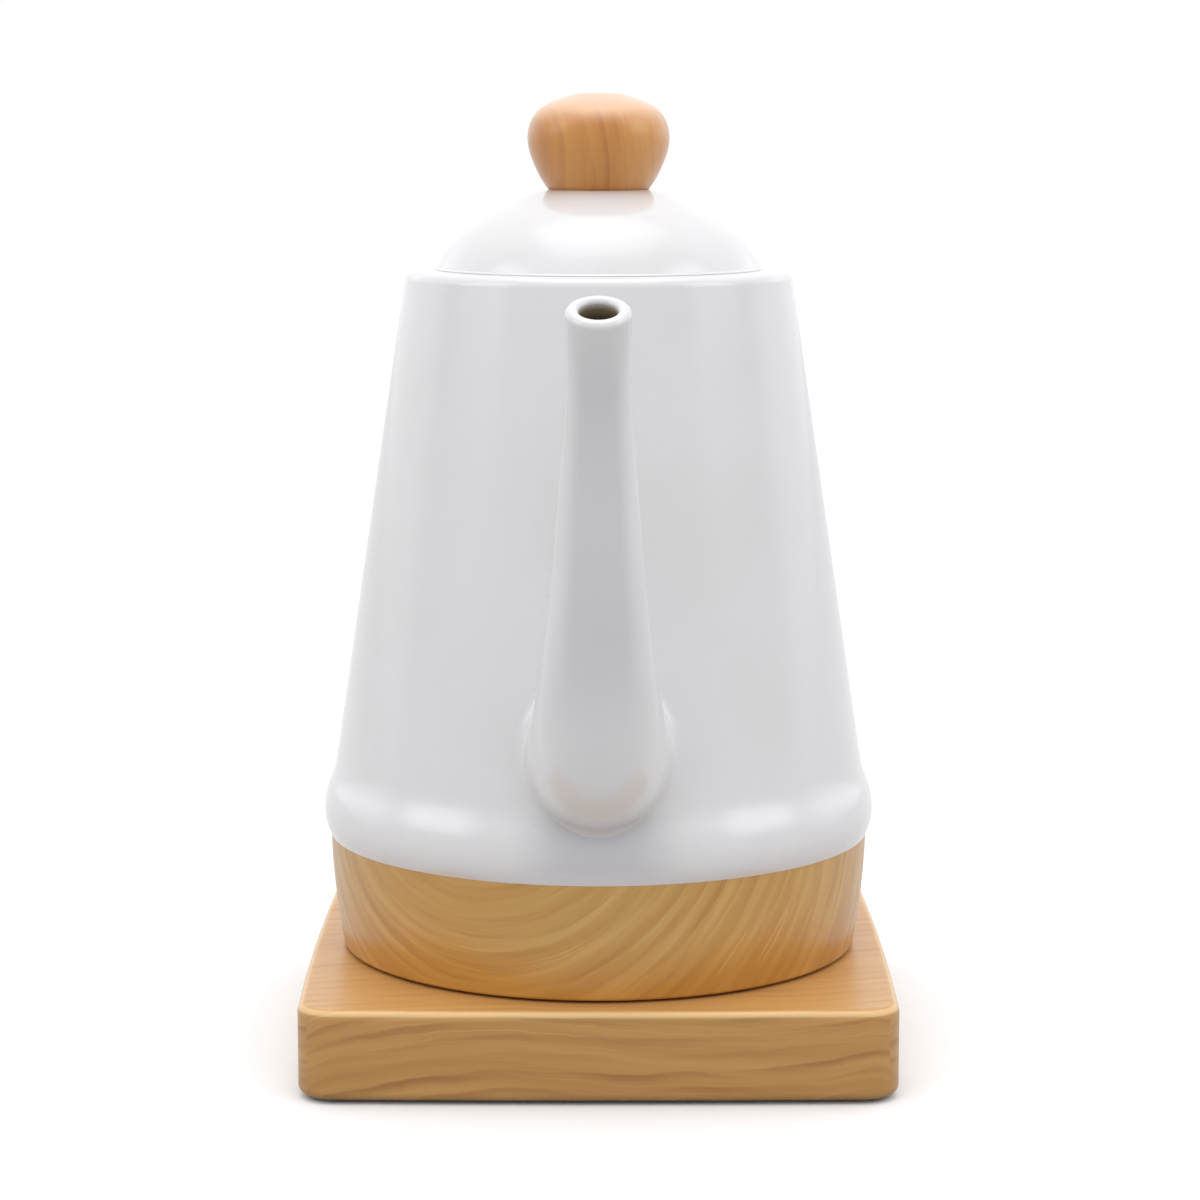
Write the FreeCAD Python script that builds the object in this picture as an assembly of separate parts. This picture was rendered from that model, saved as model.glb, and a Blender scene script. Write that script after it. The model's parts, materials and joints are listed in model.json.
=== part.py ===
import FreeCAD, Part
import math
import os

from FreeCAD import Vector

# Cordless ceramic gooseneck kettle standing on its square power base.
# Millimetres, +Z up, spout towards -Y, handle towards +Y.
# Origin: on the table under the middle of the base, on the kettle's axis.

# ---------------------------------------------------------------- driving dimensions
# Power base
base_side = 160.0
base_height = 24.2
base_lift = 1.0
base_corner_r = 10.0
base_bulge = 1.2
base_edge_r = 2.4
base_foot_r = 2.4
base_wall = 2.8
base_skin = 2.6
plate_inset = 0.4
plate_t = 2.4
base_foot_pad_r = 7.0
base_foot_recess = 0.6
base_foot_from_edge = 20.0
base_screw_from_edge = 14.0

# Wood-look ring round the kettle's foot
ring_gap = 0.7
ring_height = 31.7
ring_bottom_r = 71.5
ring_flare = 3.4
ring_swell = 0.65
ring_wall = 2.6
ring_ledge = 3.0
ring_ledge_t = 2.0
ring_edge_r = 1.0

# Ceramic body
body_height = 156.2
edge_overhang = 0.1
bead_out = 1.65
bead_rise = 6.2
bead_shoulder_out = 0.45
bead_shoulder_rise = 13.4
cone_start = 21.4
cone_step = 1.9
cone_top_r = 52.8
body_wall = 5.2
rim_round = 3.0
rim_inner_round = 1.5
rim_width = 10.2
mouth_depth = 9.3
mouth_flare = 6.5
floor_ledge = 11.0
floor_t = 5.4
skirt_depth = 8.0
skirt_wall = 5.5

# Spout
reach = 117.0
spout_root_rise = 26.4
spout_tip_drop = 5.9
spout_tilt = 24.0
spout_wall = 3.6
spout_blend = 5.5
spout_joint_out = 2.5
spout_hole_r = 4.8
spout_lip_r = 8.2
spout_lip_rise = 1.7
spout_lip_round = 1.7
spout_lip_inner_round = 1.4

# Handle
handle_drop = 23.8
handle_span = 92.0
handle_width = 21.0
handle_depth = 15.0
handle_bend = 24.0
stub_r = 9.5
stub_length = 9.0
stub_blend = 2.0
ferrule_r = 10.5
ferrule_t = 3.0
insert_r = 4.0
insert_depth = 9.0
handle_screw_r = 2.0
handle_head_r = 3.6
handle_head_t = 2.6
handle_screw_length = 24.0

# Lid and knob
lid_overlap = 2.3
dome_overhang = 1.6
dome_b = 30.9
dome_wall = 4.2
lid_gap = 0.1
lid_skirt_gap = 1.0
lid_skirt_wall = 3.8
lid_skirt_depth = 7.2
seal_height = 3.0
seal_bite = 1.2
seal_gap = 0.3
seat_margin = 0.7
seat_drop = 1.6
vent_r = 1.8
vent_at = 30.0
knob_base_r = 13.5
knob_r = 19.4
knob_height = 26.3
knob_widest = 14.8
lid_screw_r = 2.0
lid_screw_length = 15.0

# Heater stack
seal_t = 2.0
plate_metal_t = 1.2
pan_gap = 3.5
pan_rise = 4.0
diffuser_margin = 2.0
diffuser_t = 3.4
element_ring_r = 38.0
element_r = 3.2
element_gap_deg = 70.0

# Housing internals
cover_lift = 0.9
cover_t = 2.0
cover_gap = 0.4
tower_r = 4.2
tower_count = 4
collar_width = 8.0
collar_drop = 6.0
collar_glue = 0.2
kettle_foot_r = 4.5
kettle_foot_inset = 15.5
kettle_foot_gap = 0.05
kettle_foot_recess = 0.6
plastic_screw_r = 1.5
plastic_head_r = 2.8
plastic_head_t = 1.8

# 360 degree connector
hub_r = 14.6
hub_rise = 13.5
connector_flange = 11.1
connector_flange_t = 3.0
shroud_gap = 0.3
shroud_wall = 2.0
shroud_lip = 1.4
shroud_lip_t = 0.8
socket_gap = 0.8
socket_wall = 1.8
socket_roof_t = 2.2
socket_headroom = 2.3
socket_flange = 5.5
socket_flange_t = 1.6
pin_r = 2.4
blade_t = 1.0
blade_radii = (7.5, 11.7)
groove_gap = 0.8
groove_floor = 1.5
blade_end_rise = 4.0

# Control, switch and lamp
control_r = 27.0
control_height = 12.8
bimetal_r = 9.0
bimetal_t = 0.6
bimetal_at = 13.0
bimetal_air = 0.6
lug_out = 3.5
lug_r = 3.6
pivot_inset = 11.0
pivot_rise = 18.1
pivot_pin_r = 1.5
pivot_gap = 0.08
lever_hub_r = 4.0
lever_half_width = 8.0
lever_tilt = 6.0
paddle_half_width = 10.0
paddle_half_t = 2.5
paddle_out = 10.0
slot_gap = 0.7
arm_reach = 17.0
arm_half_t = 1.5
arm_half_width = 4.0
plunger_at = 15.0
plunger_r = 1.6
plunger_head_r = 2.6
lens_r = 2.6
lens_rise = 9.2

# Cord inlet and wiring
gland_hole_r = 3.5
gland_wall = 2.6
gland_out = 3.0
gland_flange = 1.6
gland_rise = 12.0
lead_r = 1.1

# Clearance between pieces that are fitted together
fit = 0.05

# ---------------------------------------------------------------- sizes that follow
# Radii
ring_top_r = ring_bottom_r + ring_flare
ring_mid_r = (ring_bottom_r + ring_top_r) / 2 + ring_swell
body_edge_r = ring_top_r + edge_overhang
bead_r = body_edge_r + bead_out
bead_shoulder_r = body_edge_r + bead_shoulder_out
cone_low_r = body_edge_r - cone_step
mouth_r = cone_top_r - rim_width
skirt_inner_r = body_edge_r - skirt_wall
floor_hole_r = skirt_inner_r - floor_ledge
pan_r = floor_hole_r - pan_gap
diffuser_r = pan_r - diffuser_margin
collar_inner_r = skirt_inner_r - collar_width
tower_circle_r = collar_inner_r - 0.5
kettle_foot_circle_r = ring_bottom_r - kettle_foot_inset
dome_edge_r = mouth_r + lid_overlap
dome_a = dome_edge_r + dome_overhang
lid_skirt_r = mouth_r - lid_skirt_gap
seat_r = knob_base_r + seat_margin
shroud_in_r = hub_r + shroud_gap
shroud_out_r = shroud_in_r + shroud_wall
connector_flange_r = shroud_out_r + connector_flange
socket_in_r = shroud_out_r + socket_gap
socket_out_r = socket_in_r + socket_wall
lug_circle_r = control_r + lug_out
pivot_y = ring_bottom_r - pivot_inset

# Heights
base_top = base_lift + base_height
half = base_side / 2
plate_bottom = base_lift + plate_inset
plate_top = plate_bottom + plate_t
flange_top = base_top - base_skin
hub_top = base_top + hub_rise
ring_bottom = base_top + ring_gap
ring_top = ring_bottom + ring_height
cover_bottom = ring_bottom + cover_lift
cover_top = cover_bottom + cover_t
rim_top = ring_top + body_height
floor_under = ring_top + skirt_depth
floor_top = floor_under + floor_t
plate_under = floor_under - seal_t - plate_metal_t
diffuser_top = plate_under + pan_rise
diffuser_under = diffuser_top - diffuser_t
socket_roof = hub_top + socket_headroom
socket_top = socket_roof + socket_roof_t
control_top = socket_top + control_height
pivot_z = ring_bottom + pivot_rise
lens_z = ring_bottom + lens_rise
lid_bottom = rim_top + lid_gap
dome_centre = lid_bottom - dome_b * math.sqrt(1 - (dome_edge_r / dome_a) ** 2)
dome_top = dome_centre + dome_b
seat_z = dome_top - seat_drop
stub_z = (rim_top - handle_drop, rim_top - handle_drop - handle_span)


# ---------------------------------------------------------------- shape helpers
def rod(r, z0, z1, x=0.0, y=0.0):
    """Upright cylinder between two heights."""
    return Part.makeCylinder(r, z1 - z0, Vector(x, y, z0))


def rod_x(r, x0, x1, y, z):
    """Cylinder lying along X."""
    return Part.makeCylinder(r, x1 - x0, Vector(x0, y, z), Vector(1, 0, 0))


def rod_y(r, y0, y1, x, z):
    """Cylinder lying along Y."""
    return Part.makeCylinder(r, y1 - y0, Vector(x, y0, z), Vector(0, 1, 0))


def tube(r_out, r_in, z0, z1, x=0.0, y=0.0):
    """Upright tube between two heights."""
    return rod(r_out, z0, z1, x, y).cut(rod(r_in, z0, z1, x, y))


def block(x0, x1, y0, y1, z0, z1):
    """Box between two corners."""
    return Part.makeBox(x1 - x0, y1 - y0, z1 - z0, Vector(x0, y0, z0))


def at_angle(r, degrees):
    """Point on a circle about the axis, measured from +X."""
    turn = math.radians(degrees)
    return r * math.cos(turn), r * math.sin(turn)


def on_section(point):
    """Point (r, z) of a turned piece's half section, in space."""
    return Vector(point[0], 0, point[1])


def side(start, end):
    """Straight stretch of a half section."""
    return Part.LineSegment(on_section(start), on_section(end)).toShape()


def bow(start, middle, end):
    """Arc of a half section through three points."""
    return Part.Arc(on_section(start), on_section(middle), on_section(end)).toShape()


def turned(edges):
    """Solid of revolution about Z from the closed half section."""
    section = Part.Face(Part.Wire(edges))
    return section.revolve(Vector(0, 0, 0), Vector(0, 0, 1), 360)


def turned_corners(corners):
    """Solid of revolution from a half section with straight sides."""
    ends = corners[1:] + corners[:1]
    return turned([side(a, b) for a, b in zip(corners, ends)])


def level_edges(shape, z, r_min, r_max):
    """Round edges of a shape at one height whose radius lies between two values."""
    found = []
    for edge in shape.Edges:
        box = edge.BoundBox
        level = abs(box.ZMin - z) < 0.01 and box.ZLength < 0.01
        if level and r_min < max(box.XMax, box.YMax) < r_max:
            found.append(edge)
    return found


def fused(first, *others):
    """One solid from several that touch or overlap."""
    return first.fuse(list(others)).removeSplitter()


def cut_by(shape, *tools):
    """Shape with each tool taken away."""
    for tool in tools:
        shape = shape.cut(tool)
    return shape


def square_prism(half_side, corner_r, z0, z1):
    """Upright prism on the base's plan: bowed sides and rounded corners."""
    corner = half_side - base_bulge
    corners = [(-corner, -corner), (corner, -corner), (corner, corner), (-corner, corner)]
    middles = [(0, -half_side), (half_side, 0), (0, half_side), (-half_side, 0)]
    edges = []
    for i in range(4):
        a = Vector(*corners[i], z0)
        b = Vector(*corners[(i + 1) % 4], z0)
        edges.append(Part.Arc(a, Vector(*middles[i], z0), b).toShape())
    prism = Part.Face(Part.Wire(edges)).extrude(Vector(0, 0, z1 - z0))
    upright = [e for e in prism.Edges if e.BoundBox.ZLength > (z1 - z0) / 2]
    return prism.makeFillet(corner_r, upright)


def screw(r, length, head_r, head_t, x, y, z):
    """Cross-head screw whose shank goes up from its head's seat at height z."""
    shank = rod(r, z, z + length, x, y)
    head = rod(head_r, z - head_t, z, x, y)
    long_way = head_r * 0.62
    narrow = head_r * 0.14
    depth = head_t * 0.6
    low = z - head_t
    cross_a = block(x - long_way, x + long_way, y - narrow, y + narrow, low, low + depth)
    cross_b = block(x - narrow, x + narrow, y - long_way, y + long_way, low, low + depth)
    return cut_by(fused(shank, head), cross_a, cross_b)


def lead(points, r):
    """Wire of straight runs joined by tangent arcs through the given corners."""
    corners = [Vector(*p) for p in points]
    edges = []
    start = corners[0]
    for before, here, after in zip(corners, corners[1:], corners[2:]):
        come = (here - before).normalize()
        go = (after - here).normalize()
        cut = 0.45 * min((here - before).Length, (after - here).Length)
        first = here - come * cut
        last = here + go * cut
        bend = (go - come).normalize()
        half_turn = come.getAngle(go) / 2
        radius = cut / math.tan(half_turn)
        middle = here + bend * (radius / math.cos(half_turn) - radius)
        edges.append(Part.LineSegment(start, first).toShape())
        edges.append(Part.Arc(first, middle, last).toShape())
        start = last
    edges.append(Part.LineSegment(start, corners[-1]).toShape())
    path = Part.Wire(edges)
    direction = corners[1] - corners[0]
    section = Part.Wire(Part.Circle(corners[0], direction, r).toShape())
    return path.makePipeShell([section], True, False)


def group(shapes):
    """Several like pieces kept as separate solids in one node."""
    return Part.makeCompound(shapes)


# ---------------------------------------------------------------- power base
def base_screw_places():
    """Plan positions of the four screws that close the base."""
    far = half - base_screw_from_edge
    return [(x, y) for x in (-far, far) for y in (-far, far)]


def base_foot_places():
    """Plan positions of the four rubber feet."""
    far = half - base_foot_from_edge - base_foot_pad_r
    return [(x, y) for x in (-far, far) for y in (-far, far)]


def connector_screw_places():
    """Plan positions of the two screws that hold the connector under the cover."""
    far = connector_flange_r - plastic_head_r - 1.5
    return [(-far, 0.0), (far, 0.0)]


def base_cover():
    """Wood-look shell: square block with soft edges, hollow from below."""
    shell = square_prism(half, base_corner_r, base_lift, base_top)
    top = [e for e in shell.Edges if e.BoundBox.ZMin > base_top - 0.01]
    shell = shell.makeFillet(base_edge_r, top)
    low = [e for e in shell.Edges if e.BoundBox.ZMax < base_lift + 0.01]
    shell = shell.makeFillet(base_foot_r, low)
    inner = square_prism(half - base_wall, base_corner_r - base_wall, base_lift, flange_top)
    shell = shell.cut(inner)
    for x, y in base_screw_places():
        shell = shell.fuse(rod(tower_r, plate_top, flange_top, x, y))
        shell = shell.cut(rod(plastic_screw_r + fit, plate_top, flange_top - 1, x, y))
    for x, y in connector_screw_places():
        shell = shell.cut(rod(plastic_screw_r + fit, flange_top, base_top - 1, x, y))
    opening = rod(shroud_out_r + socket_gap, flange_top, base_top)
    lip_room = rod(shroud_out_r + shroud_lip + shroud_gap, flange_top, base_top - 1.2)
    gland = rod_y(gland_hole_r + gland_wall + fit, half - 10, half + 1, 0, gland_rise)
    return cut_by(shell, opening, lip_room, gland).removeSplitter()


def base_plate():
    """Flat underside of the base, let in between the walls."""
    gap = base_wall + fit
    plate = square_prism(half - gap, base_corner_r - gap, plate_bottom, plate_top)
    for x, y in base_screw_places():
        seat = plate_bottom + plastic_head_t
        plate = plate.cut(rod(plastic_head_r + 0.4, plate_bottom, seat, x, y))
        plate = plate.cut(rod(plastic_screw_r + 0.3, seat, plate_top, x, y))
    for x, y in base_foot_places():
        recess = rod(base_foot_pad_r + fit, plate_bottom, plate_bottom + base_foot_recess, x, y)
        plate = plate.cut(recess)
    for i in range(-2, 3):
        plate = plate.cut(block(-14, 14, i * 8 - 1, i * 8 + 1, plate_bottom, plate_top))
    return plate


def base_feet():
    """Four rubber pads stuck in the plate's recesses."""
    top = plate_bottom + base_foot_recess
    feet = []
    for x, y in base_foot_places():
        pad = rod(base_foot_pad_r, 0, top, x, y)
        feet.append(pad.makeFillet(0.4, [pad.Edges[0], pad.Edges[2]]))
    return group(feet)


def base_screws():
    """Four screws up through the plate into the cover's towers."""
    seat = plate_bottom + plastic_head_t
    made = []
    for x, y in base_screw_places():
        made.append(screw(plastic_screw_r, 12, plastic_head_r, plastic_head_t, x, y, seat))
    return group(made)


def groove(radius, z0, z1, gap):
    """Ring-shaped slot for one contact blade."""
    spread = blade_t / 2 + gap
    return tube(radius + spread, radius - spread, z0, z1)


def base_connector():
    """Fixed half of the round connector: flange below the cover, hub above it."""
    flange = rod(connector_flange_r, flange_top - connector_flange_t, flange_top)
    body = fused(flange, rod(hub_r, flange_top, hub_top))
    rounded = level_edges(body, hub_top, hub_r - 0.1, hub_r + 0.1)
    body = body.makeFillet(0.7, rounded)
    floor = base_top + groove_floor
    body = body.cut(rod(pin_r + groove_gap, floor, hub_top))
    for radius in blade_radii:
        body = body.cut(groove(radius, floor, hub_top, groove_gap))
    for x, y in connector_screw_places():
        hole = rod(plastic_screw_r + 0.3, flange_top - connector_flange_t, flange_top, x, y)
        body = body.cut(hole)
    for x, y in contact_places():
        slot = block(x - 2.5, x + 2.5, y - 0.5, y + 0.5, flange_top - 9, floor)
        body = body.cut(slot)
    return body


def contact_places():
    """Where the three contacts' tabs go down through the connector."""
    return [(0.0, 0.0), (0.0, -blade_radii[0]), (0.0, blade_radii[1])]


def base_contacts():
    """Three contacts at the bottoms of the grooves, each with a tab below."""
    floor = base_top + groove_floor
    tops = [rod(pin_r, floor, floor + 1.2)]
    for radius, facing in zip(blade_radii, (-1, 1)):
        ring = groove(radius, floor, floor + 1.2, 0.1)
        low, high = sorted((0, facing * 20))
        tops.append(ring.common(block(-4, 4, low, high, floor, floor + 2)))
    made = []
    for top, (x, y) in zip(tops, contact_places()):
        tab = block(x - 2.4, x + 2.4, y - 0.4, y + 0.4, flange_top - 9, floor)
        made.append(fused(top, tab))
    return group(made)


def connector_screws():
    """Two screws that hold the connector's flange up against the cover."""
    seat = flange_top - connector_flange_t
    made = []
    for x, y in connector_screw_places():
        length = connector_flange_t + 1.4
        made.append(screw(plastic_screw_r, length, plastic_head_r, plastic_head_t, x, y, seat))
    return group(made)


def connector_shroud():
    """Loose collar round the hub that turns with the kettle, kept in by its lip."""
    low = flange_top + shroud_gap
    lip_top = low + shroud_lip_t
    outer = shroud_out_r
    corners = [
        (shroud_in_r, low),
        (outer + shroud_lip, low),
        (outer + shroud_lip, lip_top),
        (outer, lip_top),
        (outer, hub_top - 1.2),
        (outer - 0.8, hub_top - 0.4),
        (shroud_in_r, hub_top - 0.4),
    ]
    return turned_corners(corners)


def terminal_block():
    """Block where the supply cord's cores are screwed to the inner leads."""
    y = half - 34
    body = block(-12, 12, y - 5, y + 5, plate_top, plate_top + 9)
    for x in lead_lanes():
        body = body.cut(rod_y(lead_r + fit, y - 6, y + 6, x, plate_top + 4))
        body = body.cut(rod(1.5, plate_top + 5.5, plate_top + 10, x, y))
    return body


def lead_lanes():
    """Sideways places of the three leads at the terminal block."""
    return (-7.5, 0.0, 7.5)


def base_leads():
    """Three insulated leads from the terminal block to the connector's tabs."""
    back = half - 34
    low = plate_top + 4
    tab = flange_top - 9
    made = []
    for lane, (x, y) in zip(lead_lanes(), contact_places()):
        rise = y + 4.5
        points = [
            (lane, back - 5, low),
            (lane, back - 12, low),
            (lane * 0.6, rise + 8, low - 1.5),
            (x, rise, low - 1.0),
            (x, y + 1.5, tab + 2.0),
        ]
        made.append(lead(points, lead_r))
    return group(made)


def cord_gland():
    """Rubber grommet in the rear wall that the supply cord comes through."""
    outer_r = gland_hole_r + gland_wall
    y_in = half - base_wall
    inside = rod_y(outer_r + gland_flange, y_in - 2.5, y_in - 0.6, 0, gland_rise)
    barrel = rod_y(outer_r, y_in - 2.5, half + gland_out, 0, gland_rise)
    collar = rod_y(outer_r + gland_flange, half + 0.1, half + gland_out, 0, gland_rise)
    body = fused(inside, barrel, collar)
    return body.cut(rod_y(gland_hole_r, y_in - 3, half + gland_out + 1, 0, gland_rise))


# ---------------------------------------------------------------- kettle's foot
def ring_section_r(z):
    """Outer radius of the wood-look ring at a height, close to its arc."""
    share = (z - ring_bottom) / ring_height
    straight = ring_bottom_r + (ring_top_r - ring_bottom_r) * share
    swell = ring_mid_r - (ring_bottom_r + ring_top_r) / 2
    return straight + 4 * swell * share * (1 - share)


def ring_inner_r(z):
    """Inner radius of the ring above its ledge, where the wall is straight."""
    low_r = ring_bottom_r - ring_wall
    ledge_top = cover_top + ring_ledge_t
    share = (z - ledge_top) / (ring_top - ledge_top)
    return low_r + (ring_top_r - ring_bottom_r) * share


def housing_ring():
    """Wood-look shell between the base and the ceramic, with the switch slot."""
    middle = ring_bottom + ring_height / 2
    inner_low = ring_bottom_r - ring_wall
    ledge_r = inner_low - ring_ledge
    ledge_top = cover_top + ring_ledge_t
    edges = [
        bow((ring_bottom_r, ring_bottom), (ring_mid_r, middle), (ring_top_r, ring_top)),
        side((ring_top_r, ring_top), (ring_top_r - ring_wall, ring_top)),
        side((ring_top_r - ring_wall, ring_top), (inner_low, ledge_top)),
        side((inner_low, ledge_top), (ledge_r, ledge_top)),
        side((ledge_r, ledge_top), (ledge_r, cover_top)),
        side((ledge_r, cover_top), (inner_low, cover_top)),
        side((inner_low, cover_top), (inner_low, ring_bottom)),
        side((inner_low, ring_bottom), (ring_bottom_r, ring_bottom)),
    ]
    ring = turned(edges)
    outer = level_edges(ring, ring_bottom, ring_bottom_r - 0.1, ring_bottom_r + 0.1)
    ring = ring.makeFillet(ring_edge_r, outer)
    wide = paddle_half_width + slot_gap
    swing = (ring_top_r - pivot_y) * math.sin(math.radians(lever_tilt))
    tall = paddle_half_t + swing + slot_gap
    slot = block(-wide, wide, inner_low - 8, ring_top_r + 5, pivot_z - tall, pivot_z + tall)
    slot = slot.makeFillet(2.0, [e for e in slot.Edges if e.BoundBox.YLength > 5])
    lens_hole = rod_y(lens_r + fit, inner_low - 8, ring_top_r + 5, 0, lens_z)
    return cut_by(ring, slot, lens_hole)


def tower_places():
    """Plan positions of the screw towers round the kettle's foot."""
    step = 360 / tower_count
    return [at_angle(tower_circle_r, step / 2 + i * step) for i in range(tower_count)]


def body_collar():
    """Moulded collar bonded into the ceramic skirt, with the screw towers."""
    skirt_r = skirt_inner_r - collar_glue
    low = ring_top - collar_drop
    lip_r = ring_inner_r(low) - collar_glue
    corners = [
        (collar_inner_r, low),
        (lip_r, low),
        (lip_r, ring_top),
        (skirt_r, ring_top),
        (skirt_r, plate_under),
        (collar_inner_r, plate_under),
    ]
    collar = turned_corners(corners)
    for x, y in tower_places():
        collar = collar.fuse(rod(tower_r, cover_top, plate_under, x, y))
    for x, y in tower_places():
        collar = collar.cut(rod(plastic_screw_r + fit, cover_top, cover_top + 15, x, y))
    return collar.removeSplitter()


def kettle_foot_places():
    """Plan positions of the kettle's three rubber feet."""
    return [at_angle(kettle_foot_circle_r, angle) for angle in (0, 120, 240)]


def ear(facing):
    """Upright ear of the bottom cover that carries one end of the switch pin."""
    near = lever_half_width + 0.4
    x0, x1 = sorted((facing * near, facing * (near + 2.5)))
    upright = block(x0, x1, pivot_y - 4, pivot_y + 4, cover_top, pivot_z)
    crown = rod_x(4.0, x0, x1, pivot_y, pivot_z)
    return upright.fuse(crown)


def bottom_cover():
    """Underside of the kettle: round plate with the connector hole and switch ears."""
    plate = rod(ring_bottom_r - ring_wall - cover_gap, cover_bottom, cover_top)
    cradle = block(-3, 3, pivot_y, pivot_y + 5, cover_top, lens_z - 1)
    plate = fused(plate, ear(-1), ear(1), cradle)
    holes = [rod(socket_out_r + fit, cover_bottom, cover_top)]
    holes.append(rod_x(pivot_pin_r + fit, -20, 20, pivot_y, pivot_z))
    holes.append(rod_y(lamp_r() + fit, pivot_y - 1, pivot_y + 6, 0, lens_z))
    for x, y in tower_places():
        holes.append(rod(plastic_screw_r + 0.3, cover_bottom, cover_top, x, y))
    for x, y in kettle_foot_places():
        top = cover_bottom + kettle_foot_recess
        holes.append(rod(kettle_foot_r + fit, cover_bottom, top, x, y))
    for x in (-1, 1):
        for i in range(3):
            y = -8 + 8 * i
            holes.append(block(x * 40 - 7, x * 40 + 7, y - 1, y + 1, cover_bottom, cover_top))
    return cut_by(plate, *holes)


def bottom_cover_screws():
    """Low-headed screws up through the bottom cover into the collar's towers."""
    head_t = cover_bottom - ring_bottom - 0.1
    made = []
    for x, y in tower_places():
        made.append(screw(plastic_screw_r, 14, plastic_head_r, head_t, x, y, cover_bottom))
    return group(made)


def kettle_feet():
    """Three rubber pads that the kettle stands on."""
    top = cover_bottom + kettle_foot_recess
    low = base_top + kettle_foot_gap
    return group([rod(kettle_foot_r, low, top, x, y) for x, y in kettle_foot_places()])


# ---------------------------------------------------------------- heater stack
def heater_plate():
    """Pressed steel floor of the vessel: flat flange and a raised middle."""
    under = plate_under
    top = under + plate_metal_t
    flange_r = skirt_inner_r - 0.5
    corners = [
        (0, under + pan_rise),
        (pan_r - 1.0, under + pan_rise),
        (pan_r, under),
        (flange_r, under),
        (flange_r, top),
        (pan_r + plate_metal_t, top),
        (pan_r + 0.2, top + pan_rise),
        (0, top + pan_rise),
    ]
    return turned_corners(corners)


def heater_seal():
    """Silicone gasket between the steel floor and the ceramic."""
    low = plate_under + plate_metal_t
    lip_r = floor_hole_r - fit
    corners = [
        (pan_r + plate_metal_t + 0.1, low),
        (skirt_inner_r - 0.7, low),
        (skirt_inner_r - 0.7, floor_under),
        (lip_r, floor_under),
        (lip_r, floor_under + 3),
        (pan_r + plate_metal_t + 0.6, floor_under + 3),
    ]
    return turned_corners(corners)


def control_screw_places():
    """Plan positions of the screws that hold the control to the heater."""
    return [at_angle(lug_circle_r, angle) for angle in (0, 120, 240)]


def diffuser_plate():
    """Aluminium disc bonded under the steel floor."""
    plate = rod(diffuser_r, diffuser_under, diffuser_top)
    for x, y in control_screw_places():
        plate = plate.cut(rod(plastic_screw_r + fit, diffuser_under, diffuser_under + 2.6, x, y))
    return plate


def element_ends():
    """Plan positions of the heating element's two ends."""
    spread = element_gap_deg / 2
    return [at_angle(element_ring_r, 90 + spread), at_angle(element_ring_r, 90 - spread)]


def heater_element():
    """Sheathed heating element: open ring under the diffuser with two cold tails."""
    centre = Vector(0, 0, diffuser_under - element_r)
    sweep = 360 - element_gap_deg
    ring = Part.makeTorus(element_ring_r, element_r, centre, Vector(0, 0, 1), -180, 180, sweep)
    ring.rotate(centre, Vector(0, 0, 1), 90 + element_gap_deg / 2)
    tails = []
    for x, y in element_ends():
        tails.append(rod(2.2, centre.z - 8, centre.z, x, y))
        tails.append(Part.makeSphere(element_r, Vector(x, y, centre.z)))
    return fused(ring, *tails)


def heater_terminals():
    """Two push-on tabs at the element's cold tails."""
    top = diffuser_under - element_r - 8
    made = []
    for x, y in element_ends():
        made.append(block(x - 3.1, x + 3.1, y - 0.4, y + 0.4, top - 8, top))
    return group(made)


# ---------------------------------------------------------------- control and switch
def control_block():
    """Control moulding above the connector, with cups for the two bimetal discs."""
    bottom = socket_top
    cup_top = diffuser_under - bimetal_air - bimetal_t
    body = rod(control_r, bottom, control_top)
    for x in (-bimetal_at, bimetal_at):
        body = body.fuse(rod(bimetal_r + 1.2, control_top, cup_top, x, 0))
    for x, y in control_screw_places():
        reach_in = rod(lug_r, control_top, diffuser_under, x, y)
        body = body.fuse(reach_in)
        inward = 0.8
        web = rod(lug_r, control_top - 4, control_top, x * inward, y * inward)
        body = body.fuse(web)
    guide_y = pivot_y - plunger_at
    guide_low = plunger_guide_low()
    guide = block(-4, 4, control_r - 4, guide_y + 3.5, guide_low, guide_low + 5)
    body = body.fuse(guide)
    body = body.cut(rod(plunger_r + pivot_gap, guide_low - 1, guide_low + 6, 0, guide_y))
    for x, y in control_screw_places():
        body = body.cut(rod(plastic_screw_r + 0.3, control_top - 5, diffuser_under, x, y))
        body = body.cut(rod(plastic_head_r + 0.3, control_top - 6, control_top, x, y))
    return body.removeSplitter()


def bimetal_discs():
    """Two snap discs that sense the heater's temperature."""
    top = diffuser_under - bimetal_air
    made = []
    for x in (-bimetal_at, bimetal_at):
        made.append(rod(bimetal_r, top - bimetal_t, top, x, 0))
    return group(made)


def control_screws():
    """Three screws from the control's lugs up into the diffuser."""
    length = diffuser_under - control_top + 2.4
    made = []
    for x, y in control_screw_places():
        made.append(screw(plastic_screw_r, length, plastic_head_r, plastic_head_t, x, y, control_top))
    return group(made)


def kettle_connector():
    """Socket cup under the kettle that drops over the base's hub."""
    flange_r = socket_out_r + socket_flange
    corners = [
        (0, socket_roof),
        (socket_in_r, socket_roof),
        (socket_in_r, cover_bottom + 0.8),
        (socket_in_r + 0.8, cover_bottom),
        (socket_out_r, cover_bottom),
        (socket_out_r, cover_top),
        (flange_r, cover_top),
        (flange_r, cover_top + socket_flange_t),
        (socket_out_r, cover_top + socket_flange_t),
        (socket_out_r, socket_top),
        (0, socket_top),
    ]
    cup = turned_corners(corners)
    cup = cup.cut(rod(pin_r + fit, socket_roof, socket_top))
    for radius in blade_radii:
        cup = cup.cut(blade_posts(radius, fit))
    return cup


def blade_posts(radius, gap):
    """Feet of one contact blade where it passes through the socket's roof."""
    ring = groove(radius, socket_roof, socket_top, gap)
    half_wide = 2.5 + gap
    bars = block(-20, 20, -half_wide, half_wide, socket_roof, socket_top)
    return ring.common(bars)


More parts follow.
